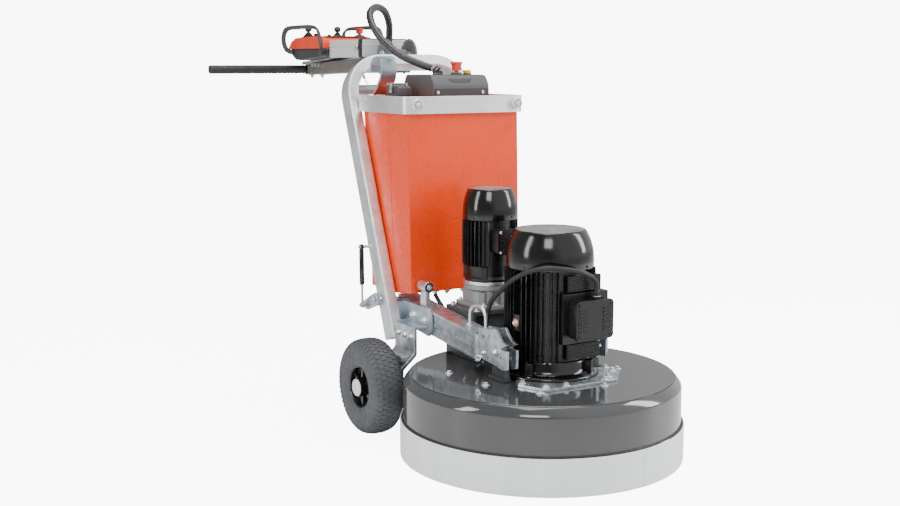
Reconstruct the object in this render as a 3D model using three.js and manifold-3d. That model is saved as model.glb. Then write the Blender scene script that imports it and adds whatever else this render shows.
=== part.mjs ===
// Walk-behind planetary floor grinder: a round grinding head with two motors, a leaning wheeled frame with an
// electrical cabinet, and a tiller that carries the radio remote. Millimetres, +Z up, -Y is the front.
import * as THREE from "three";
import { mergeVertices } from "three/addons/utils/BufferGeometryUtils.js";
import Module from "manifold-3d";

const wasm = await Module();
wasm.setup();

// ---- Driving dimensions. The head's own axis is x = 0, y = 0 until the whole part is shifted at the end. ----
const GAP = 0.3; // left between faces that rest on each other
const HEAD_RADIUS = 425;
const SKIRT_TOP = 107;
const COVER_TOP = 245;
const DISC_RADIUS = 135;
const DISC_ORBIT = 275;
const DISC_COUNT = 3;
const MAIN_MOTOR_RADIUS = 135;
const MAIN_MOTOR_TOP = 680;
const SMALL_MOTOR_Y = 288;
const SMALL_MOTOR_RADIUS = 88;
const SMALL_MOTOR_TOP = 773;
const PEDESTAL_HALF_WIDTH = 112;
const FRAME_LEAN = THREE.MathUtils.degToRad(21.3);
const FRAME_FOOT_Y = 355; // where the front face of the leaning frame would meet the floor
const FRAME_HALF_WIDTH = 250;
const FRAME_TUBE = 40;
const FRAME_DEPTH = 64.5;
const FRAME_TOP = 1277; // along the lean
const FRAME_BOTTOM = 311;
const HOOP_BEND = 150; // outer radius of the hoop's two bends
const BEAM_SLOPE = 0.097;
const BEAM_OUTER = 183;
const BEAM_INNER = 117;
const BEAM_HEIGHT = 77.6;
const BEAM_ZERO_Z = 316.9; // height of a beam's centre line at y = 0
const PIVOT_Y = -24.7;
const PIVOT_Z = 329.7;
const MOTOR_X = 4; // the main motor stands a little off the head's own axis
const MOTOR_Y = -32;
const CABINET_HALF_WIDTH = 205;
const CABINET_TOP = 1052;
const RAIL_BOTTOM = 1000;
const RAIL_TOP = 1055;
const WHEEL_RADIUS = 152;
const WHEEL_WIDTH = 105;
const WHEEL_INNER_X = 300;
const WHEEL_Y = 430;
const TILLER_Y = 890;
const TILLER_Z = 1188;
const ARM_HALF_WIDTH = 35;
const ARM_END_Y = 1580;
const BAR_Z = 1134;
const BAR_HALF_LENGTH = 430;
const REAR_END = ARM_END_Y + 16;
const MIDDLE_Y = (REAR_END - HEAD_RADIUS) / 2;

// ---- Materials ----
const finish = (color, roughness, metalness = 0) => new THREE.MeshStandardMaterial({ color, roughness, metalness });
const DARK_GREY = finish(0x4b4d50, 0.35);
const PALE_GREY = finish(0xdfe2e3, 0.45);
const BLACK_PAINT = finish(0x101112, 0.3);
const BLACK_RUBBER = finish(0x161616, 0.8);
const ORANGE = finish(0xe8480c, 0.35);
const ZINC = finish(0xb9bdbf, 0.4, 0.9);
const ALUMINIUM = finish(0xc4c7c9, 0.35, 0.9);
const LIGHT_GREY = finish(0xa9adaf, 0.45);
const DARK_PLASTIC = finish(0x2a2b2d, 0.55);
const TYRE_GREY = finish(0x75777a, 0.85);
const RED = finish(0xc41616, 0.35);
const YELLOW = finish(0xe8b90f, 0.4);
const STEEL = finish(0x8d9193, 0.35, 0.9);

// ---- Shape helpers. Every one returns a closed manifold-3d solid in the part's own frame. ----
function solidFrom(geometry, matrix = new THREE.Matrix4()) {
  const bare = geometry.index ? geometry.toNonIndexed() : geometry.clone();
  const points = new THREE.BufferGeometry();
  points.setAttribute("position", bare.getAttribute("position"));
  points.applyMatrix4(matrix);
  const merged = mergeVertices(points, 1e-3);
  const source = merged.index.array;
  const kept = [];
  for (let i = 0; i < source.length; i += 3) {
    const [a, b, c] = [source[i], source[i + 1], source[i + 2]];
    if (a !== b && b !== c && c !== a) kept.push(a, b, c);
  }
  const vertProperties = merged.attributes.position.array;
  const made = (order) => new wasm.Manifold(new wasm.Mesh({ numProp: 3, vertProperties, triVerts: order }));
  const solid = made(new Uint32Array(kept));
  if (solid.volume() > 0) return solid;
  const turned = kept.map((_, i) => kept[i - (i % 3) + [0, 2, 1][i % 3]]);
  return made(new Uint32Array(turned));
}

const moved = (x, y, z) => new THREE.Matrix4().makeTranslation(x, y, z);
const join = (first, ...others) => others.reduce((whole, piece) => whole.add(piece), first);
const cut = (first, ...others) => others.reduce((whole, piece) => whole.subtract(piece), first);

function box(x, y, z, matrix = new THREE.Matrix4()) {
  const size = [x, y, z].map(([low, high]) => high - low);
  const middle = [x, y, z].map(([low, high]) => (high + low) / 2);
  return solidFrom(new THREE.BoxGeometry(...size), matrix.clone().multiply(moved(...middle)));
}

// An outline pushed through the range `along`: axis "z" takes [x, y] points, "y" takes [x, z], "x" takes [y, z].
function plate(outline, axis, [low, high], matrix = new THREE.Matrix4(), holes = []) {
  const shape = outline instanceof THREE.Shape ? outline : new THREE.Shape(outline.map((p) => new THREE.Vector2(...p)));
  for (const [u, v, radius, sides = 16] of holes) {
    const ring = new THREE.Path();
    for (let i = 0; i < sides; i++) {
      const turn = (2 * Math.PI * i) / sides;
      const point = [u + radius * Math.cos(turn), v + radius * Math.sin(turn)];
      if (i) ring.lineTo(...point);
      else ring.moveTo(...point);
    }
    ring.closePath();
    shape.holes.push(ring);
  }
  const geometry = new THREE.ExtrudeGeometry(shape, { depth: high - low, bevelEnabled: false, curveSegments: 6 });
  const turn = new THREE.Matrix4();
  if (axis === "z") turn.makeTranslation(0, 0, low);
  if (axis === "x") turn.set(0, 0, 1, low, 1, 0, 0, 0, 0, 1, 0, 0, 0, 0, 0, 1);
  if (axis === "y") turn.set(1, 0, 0, 0, 0, 0, -1, high, 0, 1, 0, 0, 0, 0, 0, 1);
  return solidFrom(geometry, matrix.clone().multiply(turn));
}

// A round bar of the given radius along an axis; `centre` gives the two other coordinates in x, y, z order.
function rod(axis, radius, [low, high], centre, sides = 20, matrix = new THREE.Matrix4()) {
  const outline = [];
  for (let i = 0; i < sides; i++) {
    const turn = (2 * Math.PI * (i + 0.5)) / sides;
    outline.push([centre[0] + radius * Math.cos(turn), centre[1] + radius * Math.sin(turn)]);
  }
  return plate(outline, axis, [low, high], matrix);
}

// [radius, height] points turned about an upright axis at x, y.
function turned(profile, sides, x = 0, y = 0) {
  const geometry = new THREE.LatheGeometry(profile.map((p) => new THREE.Vector2(...p)), sides);
  const upright = new THREE.Matrix4().makeRotationX(Math.PI / 2);
  return solidFrom(geometry, moved(x, y, 0).multiply(upright));
}

const ring = (inner, outer, low, high, sides, x = 0, y = 0) =>
  turned([[inner, low], [outer, low], [outer, high], [inner, high], [inner, low]], sides, x, y);

// The same kind of profile turned about an axle along X; heights become distances from x = 0 on that side.
function turnedOnAxle(profile, sides, side, y, z) {
  const geometry = new THREE.LatheGeometry(profile.map((p) => new THREE.Vector2(...p)), sides);
  const onAxle = new THREE.Matrix4().makeRotationZ((-side * Math.PI) / 2);
  return solidFrom(geometry, moved(0, y, z).multiply(onAxle));
}

// A round cable, tube or bent bar through the given points.
function bent(points, radius, sides, steps, tension = 0.5) {
  const section = new THREE.Shape();
  for (let i = 0; i < sides; i++) {
    const turn = (2 * Math.PI * i) / sides;
    const point = [radius * Math.cos(turn), radius * Math.sin(turn)];
    if (i) section.lineTo(...point);
    else section.moveTo(...point);
  }
  section.closePath();
  const path = new THREE.CatmullRomCurve3(points.map((p) => new THREE.Vector3(...p)), false, "catmullrom", tension);
  return solidFrom(new THREE.ExtrudeGeometry(section, { steps, extrudePath: path, bevelEnabled: false }));
}

// A range along X on the given side: -1 is the left, +1 the right.
const across = (side, inner, outer) => (side < 0 ? [-outer, -inner] : [inner, outer]);

// Places a solid that was drawn upright, with its front face at y = 0, in the leaning frame.
const leaning = moved(0, FRAME_FOOT_Y, 0).multiply(new THREE.Matrix4().makeRotationX(-FRAME_LEAN));

const grinder = new THREE.Group();
grinder.position.set(0, -MIDDLE_Y, 0);

function add(name, solid, material) {
  const mesh = solid.getMesh();
  const geometry = new THREE.BufferGeometry();
  geometry.setAttribute("position", new THREE.BufferAttribute(new Float32Array(mesh.vertProperties), 3));
  geometry.setIndex(new THREE.BufferAttribute(new Uint32Array(mesh.triVerts), 1));
  const faceted = geometry.toNonIndexed();
  faceted.computeVertexNormals();
  const node = new THREE.Mesh(faceted, material);
  node.name = name;
  grinder.add(node);
}

// ---- Grinding head: cover, skirt and seal ----
const HEAD_SIDES = 48;
const DRIVE_HOLE = 30;

function addHeadCover() {
  const wall = [[56, 241], [391, 241], [410, 223], [412, 112 + GAP], [416, 112 + GAP], [414.5, 225], [393, 245], [56, 245]];
  const shell = turned([...wall, wall[0]], HEAD_SIDES);
  const shaftHole = rod("z", DRIVE_HOLE, [230, 250], [0, SMALL_MOTOR_Y], 20);
  add("head_cover", cut(shell, shaftHole), DARK_GREY);
  const lip = [[420.5, 0], [HEAD_RADIUS, 0], [HEAD_RADIUS, SKIRT_TOP], [422, 112], [412, 112], [412, 106], [420.5, 106]];
  add("dust_skirt", turned([...lip, lip[0]], HEAD_SIDES), PALE_GREY);
}

// ---- Main motor ----
const MAIN_BODY_LOW = 305;
const MAIN_BODY_HIGH = 570;

function finned(core, tip, count, low, high, bore, x, y) {
  const outline = [];
  const step = (2 * Math.PI) / count;
  for (let i = 0; i < count; i++)
    for (const [share, radius] of [[-0.16, core], [-0.13, tip], [0.13, tip], [0.16, core]]) {
      const turn = (i + share) * step;
      outline.push([x + radius * Math.cos(turn), y + radius * Math.sin(turn)]);
    }
  return plate(outline, "z", [low, high], undefined, [[x, y, bore, 20]]);
}

function cowl(radius, low, high, sides, x, y) {
  const inner = radius - 3;
  const profile = [
    [0, high], [radius * 0.8, high], [radius * 0.93, high - 10], [radius, high - 32], [radius, low],
    [inner, low], [inner, high - 33], [inner * 0.93, high - 13], [inner * 0.8, high - 3], [0, high - 3],
  ];
  return turned(profile, sides, x, y);
}

function addMainMotor() {
  const shield = turned(
    [[24, COVER_TOP + GAP], [145, COVER_TOP + GAP], [145, 262], [122, 268], [118, MAIN_BODY_LOW - GAP],
      [24, MAIN_BODY_LOW - GAP], [24, COVER_TOP + GAP]], 36, MOTOR_X, MOTOR_Y);
  add("main_motor_end_shield", shield, BLACK_PAINT);
  const body = finned(112, MAIN_MOTOR_RADIUS, 30, MAIN_BODY_LOW, MAIN_BODY_HIGH, 62, MOTOR_X, MOTOR_Y);
  const boxSeat = box([-45, 115], [-167.2, -92], [352, 518]);
  const seatBore = rod("z", 62, [300, 560], [MOTOR_X, MOTOR_Y], 20);
  add("main_motor_body", join(body, cut(boxSeat, seatBore)), BLACK_PAINT);
  add("main_motor_cowl", cowl(128, MAIN_BODY_HIGH + GAP, MAIN_MOTOR_TOP, 32, MOTOR_X, MOTOR_Y), BLACK_PAINT);
  const boxBody = box([-30, 102], [-214, -167.2 - GAP], [378, 492]);
  const gland = rod("z", 11, [490, 512], [57, -187], 12);
  add("main_terminal_box", join(boxBody, gland), BLACK_PAINT);
}

function addMainRotor() {
  const rotor = turned(
    [[0, 125], [20, 125], [20, 335], [57, 335], [57, 535], [20, 535], [20, 600], [95, 600], [95, 622], [20, 630],
      [14, 655], [0, 655]], 20, MOTOR_X, MOTOR_Y);
  add("main_rotor", rotor, STEEL);
}

function addMotorPlate() {
  const shieldRoom = rod("z", 147, [240, 260], [MOTOR_X, MOTOR_Y], 36);
  const outline = new THREE.Shape();
  outline.moveTo(-142, -72);
  outline.lineTo(-166, -120);
  outline.lineTo(-120, -212);
  outline.lineTo(120, -212);
  outline.lineTo(190, -132);
  outline.lineTo(190, -72);
  outline.lineTo(142, -72);
  add("motor_plate", cut(plate(outline, "z", [COVER_TOP + GAP, COVER_TOP + 8]), shieldRoom), ZINC);
}

// ---- Second motor, its gearbox and the drive to the planetary carrier ----
function addSmallMotor() {
  const body = finned(72, SMALL_MOTOR_RADIUS, 22, 531, 677, 40, 0, SMALL_MOTOR_Y);
  const shield = turned([[16, 472 + GAP], [80, 472 + GAP], [80, 484], [68, 490], [72, 531], [16, 531],
    [16, 472 + GAP]], 24, 0, SMALL_MOTOR_Y);
  const glandBox = box([-45, 45], [SMALL_MOTOR_Y - 118, SMALL_MOTOR_Y - 70], [575, 655]);
  add("small_motor_body", join(body, shield, cut(glandBox, rod("z", 60, [560, 670], [0, SMALL_MOTOR_Y], 20))), BLACK_PAINT);
  add("small_motor_cowl", cowl(85, 677 + GAP, SMALL_MOTOR_TOP, 26, 0, SMALL_MOTOR_Y), BLACK_PAINT);
  const lid = box([-78, 78], [SMALL_MOTOR_Y - 78, SMALL_MOTOR_Y + 78], [400 + GAP, 414]);
  const casing = rod("z", 70, [413, 460], [0, SMALL_MOTOR_Y], 24);
  const flange = rod("z", 82, [459, 472], [0, SMALL_MOTOR_Y], 24);
  const bore = rod("z", 17, [390, 480], [0, SMALL_MOTOR_Y], 16);
  add("gearbox", cut(join(lid, casing, flange), bore), LIGHT_GREY);
  const depth = [SMALL_MOTOR_Y - 82, SMALL_MOTOR_Y + 82];
  const foot = box([-PEDESTAL_HALF_WIDTH, PEDESTAL_HALF_WIDTH], depth, [COVER_TOP + GAP, 258]);
  const column = box([-62, 62], [SMALL_MOTOR_Y - 66, SMALL_MOTOR_Y + 66], [257, 400]);
  const top = box([-PEDESTAL_HALF_WIDTH, PEDESTAL_HALF_WIDTH], depth, [386, 400]);
  const wall = (side) => box(across(side, PEDESTAL_HALF_WIDTH - 10, PEDESTAL_HALF_WIDTH), depth, [257, 387]);
  const well = rod("z", 34, [240, 410], [0, SMALL_MOTOR_Y], 20);
  add("gearbox_pedestal", cut(join(foot, column, top, wall(-1), wall(1)), well), DARK_GREY);
}

function addDrive() {
  const pulley = turned([[0, 166], [40, 166], [40, 190], [14, 190], [14, 640], [0, 640]], 20, 0, SMALL_MOTOR_Y);
  add("drive_pulley", pulley, STEEL);
  const bodyProfile = [[0, 85], [352, 85], [365, 97], [365, 132], [330, 150], [150, 158], [150, 164], [210, 166],
    [210, 190], [72, 192], [72, 236], [54, 236], [54, 118], [0, 118]];
  const bearings = discPlaces().map(([x, y]) => rod("z", 30, [80, 130], [x, y], 16));
  add("planet_carrier", cut(turned(bodyProfile, 32), ...bearings), STEEL);
  add("drive_belt", cut(beltLoop(218, 48), beltLoop(213, 43, 2)), BLACK_RUBBER);
}

// The outline of a belt round the carrier's pulley and the drive pulley, as a solid.
function beltLoop(large, small, extra = 0) {
  const lift = Math.acos((large - small) / SMALL_MOTOR_Y);
  const outline = [];
  const largeSteps = 28;
  const smallSteps = 8;
  for (let i = 0; i <= largeSteps; i++) {
    const turn = Math.PI / 2 + lift + ((2 * Math.PI - 2 * lift) * i) / largeSteps;
    outline.push([large * Math.cos(turn), large * Math.sin(turn)]);
  }
  for (let i = 0; i <= smallSteps; i++) {
    const turn = Math.PI / 2 - lift + (2 * lift * i) / smallSteps;
    outline.push([small * Math.cos(turn), SMALL_MOTOR_Y + small * Math.sin(turn)]);
  }
  return plate(outline, "z", [170 - extra, 186 + extra]);
}

// ---- Grinding discs and the diamond tools under them ----
function discPlaces() {
  return Array.from({ length: DISC_COUNT }, (_, i) => {
    const turn = Math.PI / 6 + (2 * Math.PI * i) / DISC_COUNT;
    return [DISC_ORBIT * Math.cos(turn), DISC_ORBIT * Math.sin(turn)];
  });
}

function addDiscs() {
  const profile = [[0, 20 + GAP], [DISC_RADIUS, 20 + GAP], [DISC_RADIUS, 36], [70, 42], [60, 70], [28, 74], [28, 125],
    [0, 125]];
  discPlaces().forEach(([x, y], i) => {
    add(`grinding_disc_${i + 1}`, turned(profile, 28, x, y), STEEL);
    const holder = ring(78, 128, 11, 20, 20, x, y);
    const segments = Array.from({ length: 6 }, (_, k) => {
      const turn = (Math.PI * k) / 3;
      return rod("z", 18, [0, 12], [x + 103 * Math.cos(turn), y + 103 * Math.sin(turn)], 8);
    });
    add(`diamond_tools_${i + 1}`, join(holder, ...segments), ORANGE);
  });
}

// ---- Pivot between head and frame ----
const HOOK = [[62, 298], [62, 388], [24, 390], [8, 392], [-29, 398], [-40, 384], [-61, 364], [-85, 360],
  [-56, 345], [-87, 343], [-85, 289], [-62, 284]];

function addPivot(side, word) {
  const hole = [[PIVOT_Y, PIVOT_Z, 10, 14]];
  const outer = plate(HOOK, "x", across(side, 174, BEAM_OUTER), undefined, hole);
  const inner = plate(HOOK, "x", across(side, 141, 150), undefined, hole);
  const spacer = box(across(side, 149, 175), [44, 62], [301, 384]);
  add(`clevis_${word}`, join(outer, inner, spacer), ZINC);
  const foot = box(across(side, 152, 180), [-64, 14], [COVER_TOP + GAP, 256]);
  const post = plate([[-60, 255], [-50, 322], [-41, 343], [-24.7, 352], [-8, 343], [1, 322], [11, 255]], "x",
    across(side, 153, 171));
  const pin = rod("x", 9, across(side, 140.5, 190), [PIVOT_Y, PIVOT_Z], 12);
  const head = rod("x", 14, across(side, 189, 196), [PIVOT_Y, PIVOT_Z], 12);
  add(`head_bracket_${word}`, join(foot, post, pin, head), ZINC);
}

// ---- Frame: hoop with its gussets, beams, wheel brackets ----
function hoopOutline() {
  const inner = FRAME_HALF_WIDTH - FRAME_TUBE;
  const archCentre = FRAME_HALF_WIDTH - HOOP_BEND;
  const shape = new THREE.Shape();
  shape.moveTo(-FRAME_HALF_WIDTH, FRAME_BOTTOM);
  shape.lineTo(-inner, FRAME_BOTTOM);
  shape.lineTo(-inner, FRAME_TOP - HOOP_BEND);
  shape.absarc(-archCentre, FRAME_TOP - HOOP_BEND, HOOP_BEND - FRAME_TUBE, Math.PI, Math.PI / 2, true);
  shape.absarc(archCentre, FRAME_TOP - HOOP_BEND, HOOP_BEND - FRAME_TUBE, Math.PI / 2, 0, true);
  shape.lineTo(inner, FRAME_BOTTOM);
  shape.lineTo(FRAME_HALF_WIDTH, FRAME_BOTTOM);
  shape.absarc(archCentre, FRAME_TOP - HOOP_BEND, HOOP_BEND, 0, Math.PI / 2, false);
  shape.absarc(-archCentre, FRAME_TOP - HOOP_BEND, HOOP_BEND, Math.PI / 2, Math.PI, false);
  shape.closePath();
  return shape;
}

const beamZ = (y) => BEAM_ZERO_Z + BEAM_SLOPE * y;
const SPRING_TOP = [625, 564];
const LEVER_PIVOT = [556, 400];
const LEVER_STUD = [622, 372];

function addHoop() {
  const hoop = plate(hoopOutline(), "y", [0, FRAME_DEPTH], leaning);
  const gusset = (side) => {
    const outline = [[346, beamZ(346) - 43], [329, beamZ(329)], [346, beamZ(346) + 45], [560, beamZ(560) + 30], [575, 360],
      [560, beamZ(560) - 40]];
    const sheet = plate(outline, "x", across(side, BEAM_OUTER + GAP, 193));
    const filler = box(across(side, 192, 211), [506, 545], [335, 395]);
    return join(sheet, filler);
  };
  const crossTube = rod("x", 17, [-215, 215], [843, 1068], 14);
  const stud = rod("x", 5, [-292, -249], SPRING_TOP, 10);
  const pivot = rod("x", 7, [-274, -249], LEVER_PIVOT, 10);
  add("frame_hoop", join(hoop, gusset(-1), gusset(1), crossTube, stud, pivot), ZINC);
}

const BEAM_FRONT = 63;
const BEAM_REAR = 560;
const EYE_X = 145;

function addBeam(side, word) {
  const half = BEAM_HEIGHT / 2;
  const range = across(side, BEAM_INNER, BEAM_OUTER);
  const outline = [[BEAM_FRONT, beamZ(BEAM_FRONT) - half], [BEAM_REAR, beamZ(BEAM_REAR) - half],
    [BEAM_REAR, beamZ(BEAM_REAR) + half], [BEAM_FRONT, beamZ(BEAM_FRONT) + half]];
  const middle = side * EYE_X;
  const eye = bent([[middle, 171, 360], [middle, 171, 404], [middle, 160, 428], [middle, 127, 437], [middle, 94, 428],
    [middle, 83, 404], [middle, 83, 352]], 5.5, 6, 14);
  const post = box(across(side, 166, 182), [377, 412], [375, 461]);
  const boss = rod("y", 17.6, [370, 421], [side * 173.6, 458], 16);
  add(`beam_${word}`, join(plate(outline, "x", range), eye, post, boss), ZINC);
}

function addAxleBracket(side, word) {
  const outline = [[236, 342], [246, 342], [246, 262], [294, 215], [294, 92], [284, 92], [284, 210], [236, 257]];
  const flange = box(across(side, 193 + GAP, 240), [345, 466], [333, 342]);
  const leg = plate(outline.map(([x, z]) => [side * x, z]), "y", [338, 466]);
  const bracket = join(leg, flange);
  const axle = rod("x", 12, across(side, 290, 398), [WHEEL_Y, WHEEL_RADIUS], 16);
  add(`axle_bracket_${word}`, join(bracket, axle), ZINC);
}

function addWheel(side, word) {
  const inner = WHEEL_INNER_X;
  const outer = WHEEL_INNER_X + WHEEL_WIDTH;
  const middle = (inner + outer) / 2;
  const tyre = [[68, middle - 42], [100, inner + 4], [132, inner + 2], [147, inner + 17], [WHEEL_RADIUS, inner + 35],
    [WHEEL_RADIUS, outer - 35], [147, outer - 17], [132, outer - 2], [100, outer - 4], [68, middle + 42],
    [68, middle - 42]];
  add(`tyre_${word}`, turnedOnAxle(tyre, 32, side, WHEEL_Y, WHEEL_RADIUS), TYRE_GREY);
  const rim = [[13, inner + 6], [30, inner + 6], [30, middle - 10], [58, middle - 10], [58, middle - 42],
    [67.5, middle - 42], [67.5, middle + 42], [58, middle + 42], [58, middle + 12], [30, middle + 18], [30, outer - 1],
    [13, outer - 1], [13, inner + 6]];
  add(`rim_${word}`, turnedOnAxle(rim, 24, side, WHEEL_Y, WHEEL_RADIUS), DARK_PLASTIC);
}

// ---- Gas spring and the lever that it holds, on the left upright ----
function addLever() {
  const [py, pz] = LEVER_PIVOT;
  const [sy, sz] = LEVER_STUD;
  const outline = [[py - 18, pz + 14], [py + 6, pz + 20], [sy + 14, sz + 12], [sy + 14, sz - 12], [sy - 10, sz - 16],
    [py - 16, pz - 18]];
  const arm = plate(outline, "x", [-270, -262], undefined, [[py, pz, 8, 12]]);
  add("spring_lever", join(arm, rod("x", 5, [-292, -269], LEVER_STUD, 10)), ZINC);
  const along = new THREE.Vector2(sy - SPRING_TOP[0], sz - SPRING_TOP[1]);
  const length = along.length();
  const hang = moved(-282, SPRING_TOP[0], SPRING_TOP[1]).multiply(
    new THREE.Matrix4().makeRotationX(Math.atan2(along.x, -along.y)));
  const eye = (z) => cut(rod("x", 9, [-5, 5], [0, z], 14, hang), rod("x", 5.6, [-8, 8], [0, z], 10, hang));
  const cylinder = rod("z", 8, [-125, -8], [0, 0], 14, hang);
  const bore = rod("z", 4.4, [-130, -30], [0, 0], 10, hang);
  add("gas_spring_cylinder", join(eye(0), cut(cylinder, bore)), BLACK_PAINT);
  add("gas_spring_rod", join(eye(-length), rod("z", 4, [-length + 8, -70], [0, 0], 10, hang)), STEEL);
}

// ---- Cabinet, top rail and what stands on them ----
const CABINET = [[429, 432], [446, CABINET_TOP], [754, CABINET_TOP], [735, 900], [705, 640], [700, 420], [520, 420]];

function addCabinet() {
  const range = [-CABINET_HALF_WIDTH, CABINET_HALF_WIDTH];
  const wall = 3;
  const inside = [[433, 435], [449, CABINET_TOP - wall], [800, CABINET_TOP - wall], [790, 423], [521, 423]];
  const shell = cut(plate(CABINET, "x", range), plate(inside, "x", [range[0] + wall, range[1] - wall]));
  add("cabinet_shell", shell, ORANGE);
  const panel = [[750 - 4, CABINET_TOP - 6], [731, 900], [701, 640], [696, 426], [692, 426], [697, 641], [727, 901],
    [742, CABINET_TOP - 6]];
  add("cabinet_rear_panel", plate(panel, "x", [range[0] + wall + GAP, range[1] - wall - GAP]), ORANGE);
  add("inverter", box([-120, 120], [480, 620], [500, 840]), LIGHT_GREY);
}

function railLoop(half, front, radius) {
  const shape = new THREE.Shape();
  shape.moveTo(-half, 800);
  shape.lineTo(-half, front + radius);
  shape.absarc(-half + radius, front + radius, radius, Math.PI, 1.5 * Math.PI, false);
  shape.absarc(half - radius, front + radius, radius, 1.5 * Math.PI, 2 * Math.PI, false);
  shape.lineTo(half, 800);
  shape.closePath();
  return shape;
}

function addTopRail() {
  const outer = plate(railLoop(224, 424, 34), "z", [RAIL_BOTTOM, RAIL_TOP]);
  const inner = plate(railLoop(214, 434, 18), "z", [RAIL_BOTTOM - 2, RAIL_TOP + 2]);
  const behind = box([-400, 400], [-GAP, 200], [900, 1300], leaning);
  const boss = (side) => rod("y", 19, [412, 430], [side * 186, 1029], 20);
  add("top_rail", join(cut(outer, inner, behind), boss(-1), boss(1)), ALUMINIUM);
}

const HOOD_TOP = 1121;
const ESTOP = [19, 522];
const START_BUTTON = [58, 520];

function addConsole() {
  const base = CABINET_TOP + GAP;
  const outline = [[468, base], [468, 1084], [494, HOOD_TOP], [650, HOOD_TOP], [684, base]];
  const hood = plate(outline, "x", [-98, 111]);
  const wells = [rod("z", 9, [1096, 1140], ESTOP, 14), rod("z", 7, [1098, 1140], START_BUTTON, 14)];
  const collar = ring(10, 21, HOOD_TOP - 1, HOOD_TOP + 9, 20, ...ESTOP);
  const glandFoot = rod("z", 17, [HOOD_TOP - 1, HOOD_TOP + 12], [-28, 562], 12);
  const glandNeck = bent([[-28, 562, HOOD_TOP + 8], [-33, 566, HOOD_TOP + 14], [-38, 570.5, 1139]], 15, 8, 3);
  add("console_hood", join(cut(hood, ...wells), collar, glandFoot, glandNeck), DARK_PLASTIC);
  const button = turned([[0, 1104], [8, 1104], [8, HOOD_TOP + 18], [19, HOOD_TOP + 20], [19, HOOD_TOP + 33],
    [15, HOOD_TOP + 40], [0, HOOD_TOP + 42]], 20, ...ESTOP);
  add("estop_button", button, RED);
  const start = turned([[0, 1104], [6.4, 1104], [6.4, HOOD_TOP + 5], [11, HOOD_TOP + 5], [11, HOOD_TOP + 13],
    [0, HOOD_TOP + 14]], 16, ...START_BUTTON);
  add("start_button", start, YELLOW);
  const plugBody = [[560, base], [560, 1076], [568, 1085], [632, 1085], [640, 1076], [640, base]];
  const pegs = rod("x", 5, [-182, -122], [600, 1067], 10);
  add("connector_hood", join(plate(plugBody, "x", [-176, -128]), pegs), LIGHT_GREY);
  const lever = [[594, 1061], [594, 1073], [598, 1094], [636, 1094], [640, 1088], [606, 1088], [606, 1061]];
  const cheeks = [[-184, -179.5], [-124.5, -120]].map((range) =>
    cut(plate(lever, "x", range), rod("x", 5.6, [-190, -110], [600, 1067], 10)));
  add("connector_latch", join(...cheeks, box([-184, -120], [626, 637], [1088.5, 1094])), STEEL);
}

// ---- Flexible conduit from the console to the tiller, and the main motor's cable ----
const CONDUIT = [[-43, 575, 1141.5], [-70, 600, 1154], [-107, 640, 1176], [-137, 680, 1206], [-157, 720, 1243],
  [-165, 760, 1286], [-151, 800, 1324], [-101, 850, 1346], [-45, 895, 1334], [-10, 930, 1295], [2, 951, 1255],
  [2, 955, 1230]];
const MOTOR_CABLE = [[57, -187, 520], [57, -187.5, 530], [50, -191, 543], [28, -196, 560], [-10, -197, 576],
  [-58, -190, 586], [-112, -172, 590], [-150, -137, 577], [-168, -90, 550], [-166, -36, 515], [-152, 40, 470],
  [-128, 95, 430], [-106, 140, 385], [-90, 180, 340], [-82, 230, 322], [-82, 330, 322], [-88, 390, 350],
  [-100, 425, 390], [-105, 450, 417]];

function addCables() {
  add("conduit", bent(CONDUIT, 12.5, 8, 26), BLACK_RUBBER);
  add("motor_cable", bent(MOTOR_CABLE, 7, 8, 34), BLACK_RUBBER);
}

// ---- Tiller: notched sectors on the frame, arm, cross bar and grips ----
function addSectors() {
  const hoopRoom = plate([[-GAP, 1180], [FRAME_DEPTH + GAP, 1180], [FRAME_DEPTH + GAP, FRAME_TOP + GAP], [-GAP, FRAME_TOP + GAP]],
    "x", [-120, 120], leaning);
  for (const [side, word] of [[-1, "left"], [1, "right"]]) {
    const outline = [[TILLER_Y - 54, 1150], [TILLER_Y + 40, 1120]];
    const steps = 30;
    for (let i = 0; i <= steps; i++) {
      const turn = -0.35 + ((Math.PI + 0.35) * i) / steps;
      const notched = i >= 9 && i <= 21 && i % 3 === 0;
      const radius = notched ? 47 : 55;
      outline.push([TILLER_Y + radius * Math.cos(turn), TILLER_Z + radius * Math.sin(turn)]);
    }
    const sheet = plate(outline, "x", across(side, 44, 51), undefined, [[TILLER_Y, TILLER_Z, 11, 14]]);
    add(`sector_${word}`, cut(sheet, hoopRoom), LIGHT_GREY);
  }
}

const armZ = (y) => 1154 - 0.035 * (y - 1013);

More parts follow.
